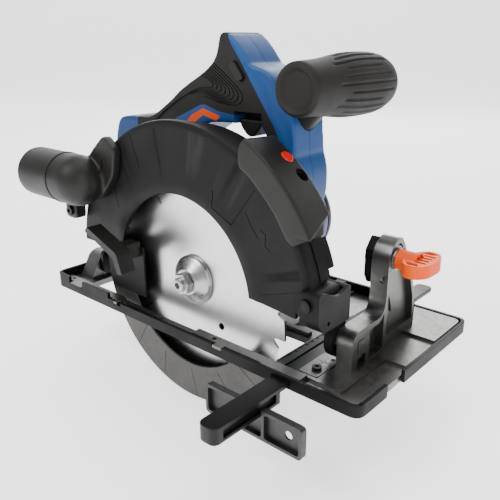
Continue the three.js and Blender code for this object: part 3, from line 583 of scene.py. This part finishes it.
def handle_cuts(part):
    return cut(part,
               rod(36.4, "y", 10, 70, (MOTOR_X, MOTOR_Z), 96),
               rod(27.6, "y", 10, 34.4, (SPINDLE_X, SPINDLE_Z), 96),
               block(18.5, 41.5, 30.4, 45.6, 128, 158),
               block(18.5, 41.5, 19, 57, 128, 149.5),
               block(-4, 35, 30, 46, 155, 168),
               block(-103, -70, 25, 51, 86, 128),
               rod(6.4, "y", SEAM - 12, SEAM + 12, (ROOT_X, ROOT_Z)),
               aux_neck(NECK_R + GAP))


OVERMOLD = [
    (-80, 128), (-80, 160), (-36, 190), (-12, 215), (6, 215), (15.5, 191, 4), (23.5, 181.4, 6),
    (40.5, 157.2, 6),
    (53, 140, 6), (56.5, 131, 4), (57, 112, 4), (50, 112, 3), (48.4, 124, 3), (46, 137, 4), (40, 144.5, 4),
    (24, 146.4, 4), (4, 148.6, 3), (-9.8, 152.6, 4), (-36, 141.5, 4), (-60, 128)]
LOCK_PILL = [(15, 178, 2.5), (20, 181, 2.5), (29, 170, 2.5), (24.5, 167, 2.5)]
CHEVRON = [(-30, 136), (-24, 136), (-9.8, 145.2), (2, 142), (6, 145.4), (-9.8, 149.4), (-21, 144.4)]


def half_space(side):
    if side < 0:
        return block(-200, 200, -60, SEAM - GAP / 2, -50, 300)
    return block(-200, 200, SEAM + GAP / 2, 160, -50, 300)


def grip_ribs():
    """Nested ribbons that follow the lower edge of the grip and turn up behind the trigger finger."""
    outer = rounded([(-62, 136), (-36, 148.5, 4), (-10, 158, 6), (8, 153.5, 6), (24, 153, 7), (27, 160, 6),
                     (13, 171, 10), (-4, 182)], 8)
    inner = rounded([(-46, 147), (-36, 153, 4), (-20, 161, 4), (-10, 164.5, 3), (-4, 164.5, 3),
                     (-3, 166.5, 2), (-8, 169, 3), (-20, 171)], 8)
    ribbons = []
    count = 8
    for k in range(count):
        share = k / count
        middle = [(a[0] + (b[0] - a[0]) * share, a[1] + (b[1] - a[1]) * share) for a, b in zip(outer, inner)]
        sides = ([], [])
        for i, point in enumerate(middle):
            before, after = Vector(middle[max(i - 1, 0)]), Vector(middle[min(i + 1, len(middle) - 1)])
            way = (after - before).normalized()
            for side, shift in zip(sides, (0.38, -0.38)):
                side.append((point[0] - way.y * shift, point[1] + way.x * shift))
        ribbons.append(sides[0] + sides[1][::-1])
    return ribbons


def handle_pieces():
    whole = handle_cuts(handle_body())
    reach = (8, 70)
    for side, label in ((-1, "right"), (1, "left")):
        shell = new_object(f"handle_shell_{label}", whole.data.copy())
        common(shell, half_space(side))
        mold = new_object(f"grip_overmold_{label}", shell.data.copy())
        stripe = new_object(f"accent_chevron_{label}", shell.data.copy())
        common(mold, prism("zone", rounded(OVERMOLD, 8), "y", *reach))
        cut(mold, prism("pill", rounded(LOCK_PILL), "y", 10, 70))
        low, high = (10, HANDLE_NEAR + 1.1) if side < 0 else (HANDLE_FAR - 1.1, 70)
        for path in grip_ribs():
            cut(mold, prism("rib", path, "y", low, high))
        cut(shell, prism("zone", rounded(OVERMOLD, 8), "y", *reach))
        common(stripe, prism("chevron", CHEVRON, "y", *reach))
        cut(shell, prism("chevron", CHEVRON, "y", *reach))
        dress(smooth(shell, 40), "blue_plastic", "head", f"handle_{label}")
        dress(smooth(mold, 40), "grip_rubber", "head")
        dress(smooth(stripe, 40), "orange_plastic", "head")
    bpy.data.objects.remove(whole, do_unlink=True)


handle_pieces()


def trigger():
    side = rounded([
        (19.3, 144.4), (20.2, 140, 3), (26.3, 133.4, 5), (32, 133.8, 5), (38.5, 142, 5), (38.5, 144.4)], 8)
    blade = edges(prism("trigger_blade", side, "y", SEAM - 13, SEAM + 13), 2.2, 4, 50)
    return join(settle(blade), block(19.5, 38.3, 30.8, 45.2, 142, 153))


dress(trigger(), "black_plastic", "trigger", "trigger")
dress(edges(prism("lock_off_slider", rounded([
    (15.6, 177.6, 2.3), (20, 180.4, 2.3), (28.4, 170, 2.3), (24.4, 167.6, 2.3)]), "y",
    HANDLE_NEAR - 2.5, HANDLE_FAR - 1.5), 0.8, 3), "black_plastic", "lock_off", "lock_off_button")


# ---------------------------------------------------------------- front handle
def aux_grip():
    """A barrel with lengthwise flutes and a dished round end."""
    steps, flutes = 192, 24
    profile = [
        (0.05, 10.2), (10.2, 10.2), (11, 9.4), (12, 8.7), (13.4, 8.3), (14.6, 9), (15.4, 10.4), (15.6, 14),
        (15.9, 22), (16.4, 30), (17.2, 38), (18.3, 46), (19.2, 54), (19.5, 62), (19.5, 74), (19.2, 82),
        (18.3, 89), (16.4, 95.4), (13.6, 99.8), (9.6, 102.2), (5, 102.9), (0.05, 103)]
    dense = []
    for (r0, y0), (r1, y1) in zip(profile, profile[1:]):
        pieces = max(1, int(abs(y1 - y0) / 1.6))
        dense += [(r0 + (r1 - r0) * k / pieces, y0 + (y1 - y0) * k / pieces) for k in range(pieces)]
    dense.append(profile[-1])
    body = lathe("aux_grip_barrel", dense, "y", (AUX_X, AUX_Z), steps)
    axis = Vector(place(AUX_X, 0, AUX_Z))
    for vertex in body.data.vertices:
        y = (vertex.co.y - BLADE_Y) / MM
        out = Vector((vertex.co.x - axis.x, 0, vertex.co.z - axis.z))
        flute = (math.atan2(out.z, out.x) / (2 * math.pi)) % 1 * flutes
        index = int(flute)
        near_end = 30 + 5 * (index % 3)
        far_end = 92 - 4 * ((index * 2) % 5)
        along = max(0, min(1, (y - near_end) / 2.5, (far_end - y) / 2.5))
        across = max(0, 1 - (abs(flute - index - 0.5) / 0.2) ** 2)
        if along and across:
            vertex.co -= out.normalized() * (0.9 * MM * along * across)
    return cut(body, rod(9, "y", AUX_Y0 + 6, AUX_Y1 - 8, (AUX_X, AUX_Z)), aux_neck(NECK_R + 0.4))


def aux_core():
    neck = aux_neck(NECK_R, "aux_grip_neck")
    join(neck, rod(8.6, "y", AUX_Y0 + 7, AUX_Y1 - 9, (AUX_X, AUX_Z), 64))
    join(neck, rod(6, "y", SEAM - 11.6, SEAM + 11.6, (ROOT_X, ROOT_Z), 64))
    return neck


dress(smooth(aux_grip(), 40), "grip_rubber", "head", "aux_handle_grip")
dress(edges(aux_core(), 0.5), "black_plastic", "head", "aux_handle_core")


# ---------------------------------------------------------------- motor and gear housing
def motor_housing():
    shell = lathe("motor_barrel", [
        (33, 34.4), (35.4, 34.4), (MOTOR_R, 35), (MOTOR_R, 58), (35.4, 58.4), (35.4, 59.6), (MOTOR_R, 60),
        (MOTOR_R, 90),
        (35.4, 94), (34, 98), (33, 100), (31, 100), (33, 91)], "y", (MOTOR_X, MOTOR_Z), 128, True)
    vents = [turn(block(28, 40, 85, 89, -3.4, 3.4), "Y", -angle, 0, 0, 0) for angle in range(-100, 101, 20)]
    for vent in vents:
        vent.data.transform(Matrix.Translation((MOTOR_X * MM, 0, MOTOR_Z * MM)))
    return cut(shell, *vents)


def motor_cap():
    cap = lathe("motor_end_cap", [
        (0.05, 100.3), (33.4, 100.3), (33.4, 102), (32.4, 105.4), (29.6, 108), (26, 109), (24, 108.4),
        (22, 109),
        (8, 110), (7.2, 112), (5.6, 112.5), (0.05, 112.5)], "y", (MOTOR_X, MOTOR_Z), 128)
    slots = []
    for k in range(12):
        slot = turn(block(12, 20, 107.6, 112, -1.3, 1.3), "Y", 30 * k, 0, 0, 0)
        slot.data.transform(Matrix.Translation((MOTOR_X * MM, 0, MOTOR_Z * MM)))
        slots.append(slot)
    return cut(cap, *slots)


def gear_housing():
    centre = (SPINDLE_X, SPINDLE_Z)
    near = GUARD_FAR + GAP
    body = rod(27, "y", near, 34, centre, 128, "gearbox_casting")
    join(body, rod(35.5, "y", near, 34, (MOTOR_X, MOTOR_Z), 128), rod(21, "y", 3, near + 1, centre, 96))
    return cut(body,
               rod(25, "y", 17, 31, centre, 96), rod(10, "y", 17, 31, (MOTOR_X, MOTOR_Z)),
               rod(18.5, "y", 0, 7.8, centre, 96), rod(16.3, "y", 7, 15.6, centre, 96),
               rod(9.5, "y", 7, 20, centre), rod(12.3, "y", 31.5, 36, (MOTOR_X, MOTOR_Z)),
               rod(5, "y", 29, 36, (MOTOR_X, MOTOR_Z)), rod(5.4, "y", 25, 36, centre),
               rod(3.3, "y", 25, 36, LOCK_KEY))


dress(edges(motor_housing(), 0.4), "blue_plastic", "head", "motor_housing")
dress(edges(motor_cap(), 0.4), "black_plastic", "head", "motor_cap")
dress(edges(gear_housing(), 0.6), "black_plastic", "head", "gear_housing")
dress(edges(join(rod(2.9, "y", 30, 37, LOCK_KEY, 40, "spindle_lock_key"),
                 rod(5.2, "y", 36.8, 42, LOCK_KEY, 48)), 0.5),
      "black_plastic", "spindle_lock", "spindle_lock_button")


# ---------------------------------------------------------------- blade and its fixings
def saw_blade():
    outline = []
    for i in range(TEETH):
        at = i * 360 / TEETH
        outline += [polar(BLADE_R, at), polar(BLADE_R - 1.2, at + 3.5), polar(GULLET_R, at + 9.6)]
        for k in range(1, 8):
            depth = 5.4 * math.sin(math.pi * k / 8) ** 0.7
            outline.append(polar(GULLET_R - depth, at + 10 + 4.4 * k / 8))
    disc = prism("saw_disc", outline, "y", -BLADE_HALF, BLADE_HALF)
    cut(disc, rod(10, "y", -3, 3, (SPINDLE_X, SPINDLE_Z), 64), rod(2.5, "y", -3, 3, (24.9, 7.1), 32))
    for angle in (33, 123, 213, 303):
        arc_slot = sector(58, 79.6, angle, angle + 0.9, (SPINDLE_X, SPINDLE_Z), 2)
        cut(disc, prism("slot", arc_slot, "y", -3, 3))
    return disc


dress(edges(saw_blade(), 0.12, 1, 50), "blade_steel", "blade_unit", "blade")
dress(edges(lathe("blade_clamp_flange", [
    (5.2, -9.4), (9, -9.4), (9.6, -9), (10.4, -8.2), (15.6, -5.2), (17, -4), (17.6, -3), (17.6, -1.2),
    (5.2, -1.2)], "y", (SPINDLE_X, SPINDLE_Z), 96, True), 0.25), "steel", "blade_unit", "outer_flange")


def arbor_bolt():
    centre = (SPINDLE_X, SPINDLE_Z)
    bolt = rod(4.8, "y", -11, 20, centre, 48, "blade_clamp_bolt")
    join(bolt, prism("hexagon", [polar(7.7, 60 * k + 12) for k in range(6)], "y", -14.4, -9.7))
    tip = [(0.05, -17.6), (3.6, -17.6), (4.8, -16.9), (5, -16), (5, -14), (0.05, -14)]
    join(bolt, lathe("tip", tip, "y", centre, 48))
    return cut(bolt, prism("socket", [polar(2.5, 60 * k) for k in range(6)], "y", -20, -14))


dress(edges(arbor_bolt(), 0.35), "steel", "blade_unit", "arbor_bolt")


# ---------------------------------------------------------------- lower guard
def lower_guard():
    centre = (SPINDLE_X, SPINDLE_Z)
    span = (LOWER_FROM, LOWER_TO, centre)
    guard = prism("swing_guard", sector(LOWER_R - 1.8, LOWER_R, *span), "y", LOWER_NEAR, LOWER_FAR)
    join(guard, prism("near", sector(62, LOWER_R, *span), "y", LOWER_NEAR, LOWER_NEAR + 1.5),
         prism("back", sector(24, LOWER_R, *span), "y", LOWER_FAR - 1.5, LOWER_FAR),
         ring(21.8, 30, "y", LOWER_FAR - 1.5, LOWER_FAR, centre))
    for angle in (206, 226, 248, 272, 296, 316):
        a, b = polar(66, angle), polar(86, angle + 3)
        cut(guard, groove(*a, *b, 0.4, 0.3, LOWER_NEAR))
    return guard


def guard_end_plate():
    """The dark plate at the back end of the lower guard, which the lever stands on."""
    centre = (SPINDLE_X, SPINDLE_Z)
    disc = rod(LOWER_R, "y", LOWER_NEAR - 0.05, LOWER_NEAR + 1.4, centre, 160, "swing_guard_end")
    return common(disc, block(-90, -44.5, LOWER_NEAR - 1, LOWER_NEAR + 3, SPINDLE_Z - 24, SPINDLE_Z + 15.2))


dress(edges(lower_guard(), 0.5, 2), "grey_steel", "lower_guard_unit", "lower_guard")
dress(edges(guard_end_plate(), 0.4, 2), "guard_plastic", "lower_guard_unit")


def guard_lever():
    side = rounded([
        (-76.5, 63, 1), (-74, 66.8, 1), (-41, 54, 3), (-36, 39.5, 1), (-41, 38.5, 1), (-45.5, 50, 3)], 8)
    lever = prism("guard_lift_lever", side, "y", -36, -24)
    join(lever, block(-58, -47, -25, LOWER_NEAR - GAP, 44, 55))
    return lever


dress(edges(guard_lever(), 0.9, 3), "black_plastic", "lower_guard_unit", "guard_lever")


# ---------------------------------------------------------------- base
QUAD_X0, QUAD_X1 = 111, 123
COLUMN_WINDOW = [
    (47.5, 15), (47.5, 66, 1), (52, 72, 2), (58, 75, 3), (63, 68.5), (70, 57), (76, 45), (81, 31), (82.5, 15)]
FOOT_HOLLOW = [(27.5, 7, 1), (27.5, 26.5, 2), (40, 26.8, 4), (43.6, 31.6, 1), (43.6, 7, 1)]
FOOT_ARCH = [(14.5, 4.4), (14.5, 12.2, 2), (18, 11.6, 1), (20.4, 13.2, 1), (23.4, 12.6, 2), (23.4, 4.4)]


def quadrant():
    profile = rounded([
        (8, 3), (8, 30, 9), (41, 30.2, 6), (45, 37, 4), (45, 68, 4), (50, 75, 3), (59, 79, 5),
        (65, 71, 5), (72, 59, 8), (78.5, 46, 8), (83.5, 32, 8), (85.5, 18, 6), (85, 3)], 10)
    plate = prism("quadrant", profile, "x", QUAD_X0, QUAD_X1)
    cut(plate,
        prism("window", rounded(COLUMN_WINDOW, 8), "x", QUAD_X1 - 4, QUAD_X1 + 1),
        prism("hollow", rounded(FOOT_HOLLOW, 8), "x", QUAD_X1 - 5, QUAD_X1 + 1),
        prism("arch", rounded(FOOT_ARCH), "x", QUAD_X1 - 5, QUAD_X1 + 1),
        rod(4.3, "x", QUAD_X0 - 1, QUAD_X1 - 2, (BEVEL_Y, BEVEL_Z), 48))
    notches = []
    for k in range(13):
        angle = 8 + 3.4 * k
        y = BEVEL_Y + 70.8 * math.cos(math.radians(angle))
        z = BEVEL_Z + 70.8 * math.sin(math.radians(angle))
        notches.append(rod(0.75, "x", QUAD_X1 - 3, QUAD_X1 + 1, (y + 0.4, z), 6))
    cut(plate, *notches)
    ridge = prism("ridge", sector(44.6, 46, 12, 52, (BEVEL_Y, BEVEL_Z)), "x", QUAD_X1 - 4.5, QUAD_X1 - 2.6)
    pad = prism("pad", rounded([(14, 15.5, 1), (21, 15.5, 1), (21, 23.5, 1), (14, 23.5, 1)]),
                "x", QUAD_X1 - 1, QUAD_X1 + 0.6)
    boss = rod(8.5, "x", QUAD_X1 - 4.5, QUAD_X1, (KNOB_Y, KNOB_Z), 64)
    join(plate, ridge, pad, boss)
    return cut(plate, rod(3.4, "x", QUAD_X0 - 1, QUAD_X1 + 1, (KNOB_Y, KNOB_Z), 32))


def base_casting():
    inset = SKIRT + GAP
    x0, x1, y0, y1 = BASE_X0 + inset, BASE_X1 - inset, BASE_Y0 + inset, BASE_Y1 - inset
    body = prism("sole_casting", rounded([(x0, y0, 5), (x1, y0, 5), (x1, y1, 5), (x0, y1, 5)]), "z", 0, 4.5)
    join(body,
         block(77, 107, y0, -14, 0, 7.7), block(77, 107, 109, y1, 0, 7.7),
         prism("deck", rounded([(80, -14), (131, -14, 2), (131, 35, 1), (144.8, 35), (144.8, 76), (80, 76)]),
               "z", 4, 6.2),
         prism("far_deck", rounded([(107, 73), (144.8, 73), (144.8, 113.7, 5), (107, 113.7)]), "z", 4, 8.2),
         prism("near_upstand", rounded([
             (-136, -20.4), (-18, -20.4), (-18, -16), (-60, -16, 1), (-66, -13.2, 1), (-136, -13.2)]),
             "z", 4, 7.4),
         block(16, 80, -20.4, -13.2, 4, 7.4), block(-136, 76, 30, 34, 4, 7.4),
         prism("rear_boss", rounded([(-6, 3), (6, 24.5, 6), (22, 24.5, 6), (33, 3)]), "x", -136, -120.5))
    for left, right in ((-138, -90), (-90, -40), (-40, 10), (10, 60)):
        join(body, block(right - 2, right, 33, 113.5, 4, 6.6), block(left, right, 72, 74, 4, 6.6))
    join(body, quadrant())
    join(body, *[rod(3.4, "z", 4, 6.9, (x, -17), 32) for x in PAD_X])
    holes = [rod(1.5, "z", 5, 8, (x, -17), 24) for x in PAD_X]
    for left, right in ((-123, -108), (-71, -62), (38.6, 46.4)):
        join(body, block(left, right, -24.1, -20, 4, 7.4))
    cut(body,
        block(-114, 80.8, -13, 28, -1, 20),
        block(FENCE_X0 - GAP, FENCE_X1 + GAP, -60, 150, FENCE_UNDER - GAP, FENCE_TOP + GAP),
        block(81.8, FENCE_X1 + GAP, -14, 109, FENCE_UNDER - GAP, 20),
        block(97, 112, -11.5, 17.5, 5.4, 20),
        rod(1.9, "z", 0.9, 8, CLAMP_SCREW), rod(4.3, "x", -150, -120, (BEVEL_Y, BEVEL_Z)), *holes)
    return body


def skirt():
    k, corner = SKIRT, 7.4
    outer = rounded([
        (BASE_X0, BASE_Y0, corner), (BASE_X1, BASE_Y0, corner),
        (BASE_X1, BASE_Y1, corner), (BASE_X0, BASE_Y1, corner)], 10)
    inner = rounded([
        (BASE_X0 + k, BASE_Y0 + k, 5), (BASE_X1 - k, BASE_Y0 + k, 5),
        (BASE_X1 - k, BASE_Y1 - k, 5), (BASE_X0 + k, BASE_Y1 - k, 5)], 10)
    low, high, wall = BASE_Y0 - 1, BASE_Y0 + k + 2, k + 2
    rim = prism("sole_skirt", outer, "z", 0.4, 12)
    return cut(rim,
               prism("inner", inner, "z", -1, 14),
               block(-124, -106, low, high, 6.5, 14),
               block(-72, BASE_X1 + 1, low, high, 8, 14),
               block(-66, -57, low, high, 5.5, 14),
               block(38, 47, low, high, 5.5, 14),
               block(BASE_X1 - 40, BASE_X1 + 1, BASE_Y0 - 1, BASE_Y1 + 1, 8.6, 14),
               block(BASE_X1 - wall, BASE_X1 + 1, 6, 26, -1, 14),
               block(FENCE_X0 - GAP, FENCE_X1 + GAP, -60, 150, FENCE_UNDER - GAP, FENCE_TOP + GAP))


dress(edges(base_casting(), 0.55, 3), "casting", "base", "base_plate")
dress(edges(skirt(), 0.8, 3), "black_steel", "base", "base_skirt")


# Painted shade: a black strip, standing for the frame's fence guide, fills the dark gap between the trough's
# rear wall and the fence bar; the scale notches are cut in its edge.
def fence_guide():
    guide = block(82.1, FENCE_X0 - 2 * GAP, -13.7, 108.7, FENCE_UNDER, 6, "trough_gap_shade_strip")
    return cut(guide, *[block(81, 84, y, y + 0.8, 5.5, 8) for y in range(0, 60, 6)])


# the strip's black plastic is painted shade for the gap beside the fence bar
dress(edges(fence_guide(), 0.3), "black_plastic", "base", "fence_guide")


def clamp_plate():
    outline = rounded([(98.2, -11, 2), (111.6, -11, 2), (111.6, 17, 2), (98.2, 17, 2)])
    plate = prism("fence_spring", outline, "z", 5.7, 6.5)
    join(plate, block(103.4, 104.4, 3, 11, 6.3, 6.7), block(100.4, 107.4, 6.6, 7.6, 6.3, 6.7))
    return cut(plate, rod(1.9, "z", 5, 8, CLAMP_SCREW), rod(1.4, "z", 5, 8, (107.5, 12), 24))


dress(edges(clamp_plate(), 0.2), "plate_steel", "base", "fence_clamp_plate")
dress(screw_head("fence_spring_screw", 3, "z", 6.9, 8.4, CLAMP_SCREW, 1),
      "dark_steel", "base", "fence_clamp_screw")


# ---------------------------------------------------------------- bevel frame
def bracket():
    body = prism("pivot_bracket", rounded([
        (-20.2, 45, 2), (-15, 38, 2), (11.5, 38), (11.5, 60, 2), (4, 57.6, 6), (-2, 56, 8), (-14, 62, 3),
        (-20.2, 62, 2)], 10), "x", 100, 117.5)
    ear = rod(8.6, "y", -22, -13.9, (DEPTH_X, DEPTH_Z), 64)
    waste = block(98, DEPTH_X, -23, -14, 36, 66)
    cut(body, cut(waste, ear))
    neck = prism("neck", rounded([
        (-6, 40), (5, 30, 5), (4, 16, 6), (14, 7, 7), (24, 16, 6), (18, 34, 6), (18, 58, 2), (8, 58),
        (8, 40)], 10), "x", SWING_X0, SWING_X1)
    centre = (BEVEL_Y, BEVEL_Z)
    band = sector(BOLT_ARC - 6.2, BOLT_ARC + 9, -3, 56, centre)
    swing = cut(prism("swing", band, "x", SWING_X0, SWING_X1), block(100, 115, 30, 46.6, 40, 80))
    arm = rounded([(10, 9.5, 4), (74, 9.5, 4), (74, 26), (60, 26), (10, 27)])
    pad = rounded([(47, 52), (51, 45.5, 2), (62, 50), (62, 66), (57, 76, 2), (53, 76, 2), (47, 69, 1)])
    join(body, neck, swing,
         prism("arm", arm, "x", SWING_X0, SWING_X1), prism("pad", pad, "x", SWING_X0, SWING_X1))
    return cut(body,
               block(99, 115, -15.3, 7.8, 46, 70),
               rod(3.3, "y", -30, 30, (DEPTH_X, DEPTH_Z)),
               rod(4.3, "x", 90, 120, centre),
               rod(1.3, "x", 116, 119, (-10, 42.5), 24),
               prism("slot", sector(BOLT_ARC - 3.3, BOLT_ARC + 3.3, 1, 53.5, centre), "x", 100, 112),
               prism("head", sector(BOLT_ARC - 4.9, BOLT_ARC + 4.9, -0.5, 54.6, centre), "x", 100, 107.8))


def bevel_knob():
    wing = prism("bevel_wing", rounded([
        (129, 53), (132.5, 42, 4), (136, 38.5, 4), (143, 38.5, 4), (148, 45, 4), (148.4, 62, 4),
        (144, 70, 4), (136, 71, 4), (130.5, 63, 4)], 8), "z", 60.5, 68.5)
    join(wing, rod(6.4, "x", QUAD_X1 + 1.9, 138, (KNOB_Y, KNOB_Z), 64))
    pockets = []
    for y, shift in ((47.6, 1.5), (52, 0), (56.4, 0), (60.8, 1.5)):
        pockets.append(prism("slot", rounded([
            (136.6 + shift, y - 1.1, 0.5), (145.4, y - 1.1, 0.5), (144.4, y + 1.3, 0.5),
            (135.6 + shift, y + 1.3, 0.5)]), "z", 63, 70))
    pockets.append(prism("corner", rounded([
        (133.6, 44.6, 0.6), (136.8, 40.4, 0.6), (143.4, 40.6, 0.6), (141.4, 44.4, 0.6)]), "z", 63, 70))
    pockets.append(prism("corner", rounded([
        (134, 64, 0.6), (141.4, 64.4, 0.6), (144.6, 67.4, 0.6), (137, 68.8, 0.6)]), "z", 63, 70))
    return cut(wing, rod(3.3, "x", 120, 134, (KNOB_Y, KNOB_Z)), *pockets)


dress(edges(bracket(), 0.7, 3), "black_steel", "bevel_frame", "front_bracket")
dress(screw_head("pivot_screw_head", 4, "y", -22, -20.3, (DEPTH_X, DEPTH_Z), -1), "dark_steel", "bevel_frame")
dress(edges(bevel_knob(), 0.9, 3, 50), "orange_plastic", "bevel_knob", "bevel_knob")


# ---------------------------------------------------------------- depth guide and lever
def depth_guide():
    y0, y1 = 14.5, 17.5
    centre = (DEPTH_X, DEPTH_Z)
    guide = prism("depth_arc", sector(DEPTH_ARC - 7.5, DEPTH_ARC + 7.5, 153, 185, centre, 64), "y", y0, y1)
    join(guide,
         prism("foot", rounded([
             (-68, 45), (-55, 45), (-54, 14, 4), (-116, 11), (-119, 11), (-119, 25, 3), (-100, 25, 6),
             (-70, 36, 6)]), "y", y0, y1),
         prism("tab", rounded([(4, 8, 5), (24, 8, 5), (24, 28, 5), (4, 28, 5)]), "x", -119, -116))
    return cut(guide,
               prism("slot", sector(DEPTH_ARC - 3.4, DEPTH_ARC + 3.4, 156, 183.4, centre, 64),
                     "y", y0 - 1, y1 + 1),
               rod(4.4, "x", -130, -112, (BEVEL_Y, BEVEL_Z)))


def depth_lever():
    lever = prism("depth_clamp_lever", rounded([
        (4, -7, 4), (4, 7, 4), (-30, 12, 6), (-46, 15, 5), (-46, 7, 5), (-30, 0, 6)], 8), "y", 20, 27)
    join(lever, rod(8, "y", 18, 28, (0, 0), 64))
    cut(lever, rod(3.3, "y", 10, 40, (0, 0)))
    lever.data.transform(Matrix.Translation((STUD_X * MM, 0, STUD_Z * MM)))
    return lever


dress(edges(depth_guide(), 0.4), "dark_steel", "bevel_frame", "depth_guide")
dress(edges(depth_lever(), 1.2, 3), "black_plastic", "depth_lever", "depth_lever")


# ---------------------------------------------------------------- rip fence
def fence_bar():
    x0, x1, y0, y1, top = FENCE_X0, FENCE_X1, FENCE_Y0, FENCE_Y1, FENCE_TOP
    outline = rounded([(x0, y0, 5), (x1, y0, 5), (x1, y1, 5), (x0, y1, 5)], 8)
    bar = prism("rip_fence_bar", outline, "z", -5, top)
    return cut(bar,
               block(x0 - 1, x1 + 1, -32, y1 + 1, -6, FENCE_UNDER),
               block(x0 - 1, x0 + 2.5, y0 + 7, -36, -2.6, 2.6),
               block(x1 - 2.5, x1 + 1, y0 + 7, -36, -2.6, 2.6))


def fence_plate():
    outline = rounded([(58.5, -20, 3), (130, -20, 3), (130, -0.4, 3), (58.5, -0.4, 3)], 8)
    plate = prism("rip_fence_shoe", outline, "y", -50, -45.6)
    cells = []
    for x0, x1 in ((60.5, 86), (88, 102), (104, 128)):
        cell = rounded([(x0, -18, 2), (x1, -18, 2), (x1, -2.4, 2), (x0, -2.4, 2)], 8)
        cells.append(prism("cell", cell, "y", -51, -47))
    return cut(plate, *cells,
               block(FENCE_X0 - GAP, FENCE_X1 + GAP, -51, -45, -5 - GAP, 1),
               rod(2.7, "y", -51, -45, (119, -10.2), 48))


dress(edges(fence_bar(), 0.9, 3), "bar_steel", "fence", "fence_bar")
dress(edges(fence_plate(), 0.5, 3), "fence_steel", "fence", "fence_plate")


# ---------------------------------------------------------------- finishes of the pieces kept from the frame
KEPT = {
    "front_pivot_pin": "dark_steel", "rear_pivot_pin": "dark_steel", "bevel_bolt": "dark_steel",
    "depth_pivot_screw": "dark_steel", "knob_washer": "steel", "stator": "copper",
    "motor_bearing_front": "steel", "motor_bearing_rear": "steel", "spindle_bearing": "steel",
    "guard_spring": "steel", "switch_unit": "black_plastic", "battery_terminal_block": "black_plastic",
    "depth_stud": "steel", "inner_flange": "steel", "spindle": "steel",
    "spindle_gear": "dark_steel", "rotor": "dark_steel", "pinion": "steel", "cooling_fan": "black_plastic",
}
for node, material in KEPT.items():
    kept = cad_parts[node]
    kept.data.materials.clear()
    kept.data.materials.append(MATERIALS[material])
    chamfer = kept.modifiers.new("edges", "BEVEL")
    chamfer.width = 0.2 * MM
    chamfer.segments = 2
    chamfer.limit_method = "ANGLE"
    chamfer.angle_limit = math.radians(40)


# ---------------------------------------------------------------- stage
FLOOR_Z = -0.0535


def stage():
    """A pale floor just under the lower guard, curving up into a wall behind the saw."""
    floor = Surface("paper_floor", srgb(248, 248, 249), 0.75).mottle(3, 0.01).polish(4, 0.05)
    floor.shader.inputs["Emission Color"].default_value = (1, 1, 1, 1)
    floor.shader.inputs["Emission Strength"].default_value = 1.3
    backdrop = new_object("floor", bpy.data.meshes.new("floor"))
    curve, behind, half_width = 0.8, 2.2, 4
    profile = [(3.0, 0.0), (-behind, 0.0)]
    for degrees in range(6, 91, 6):
        lift = math.radians(degrees)
        profile.append((-behind - curve * math.sin(lift), curve - curve * math.cos(lift)))
    profile.append((-3.0, 3.0))
    away = Vector((-0.66, 0.75, 0)).normalized()
    across = Vector((away.y, -away.x, 0))
    points, faces = [], []
    for distance, height in profile:
        for side in (-half_width, half_width):
            points.append(tuple(-away * distance + across * side + Vector((0, 0, height + FLOOR_Z))))
    for i in range(len(profile) - 1):
        faces.append([2 * i, 2 * i + 1, 2 * i + 3, 2 * i + 2])
    backdrop.data.from_pydata(points, [], faces)
    backdrop.data.materials.append(floor.material)
    smooth(backdrop, 60)


def softbox(name, location, target, size, energy):
    lamp = bpy.data.lights.new(name, "AREA")
    lamp.shape = "RECTANGLE"
    lamp.size, lamp.size_y = size
    lamp.energy = energy
    obj = new_object(name, lamp)
    obj.location = location
    obj.rotation_euler = (Vector(target) - Vector(location)).to_track_quat("-Z", "Y").to_euler()
    return obj


stage()
softbox("key", (-0.5, -1.3, 1.5), (0, 0, 0.07), (0.9, 0.9), 26)
softbox("front", (1.6, -0.6, 0.7), (0, 0, 0.06), (0.9, 1.2), 12)
softbox("top", (0.1, 0.3, 1.8), (0, 0, 0.05), (1.6, 1.6), 22)
softbox("back", (-0.8, 1.5, 0.9), (0, 0, 0.08), (1.4, 1.0), 18)

# the camera's lens, its place in metres and its turn about X, Y and Z in degrees
LENS = 42.945
CAMERA_AT = (0.28341, -0.31088, 0.19120)
CAMERA_TURN = (70.76695, 0.16723, 41.34581)

world = bpy.data.worlds.new("studio")
bpy.context.scene.world = world
world.use_nodes = True
world.node_tree.nodes["Background"].inputs["Color"].default_value = (1, 1, 1, 1)
world.node_tree.nodes["Background"].inputs["Strength"].default_value = 0.4

camera = bpy.data.cameras.new("camera")
camera.lens = LENS
camera.sensor_width = 36
camera_object = new_object("camera", camera)
camera_object.location = CAMERA_AT
camera_object.rotation_euler = [math.radians(angle) for angle in CAMERA_TURN]
bpy.context.scene.camera = camera_object
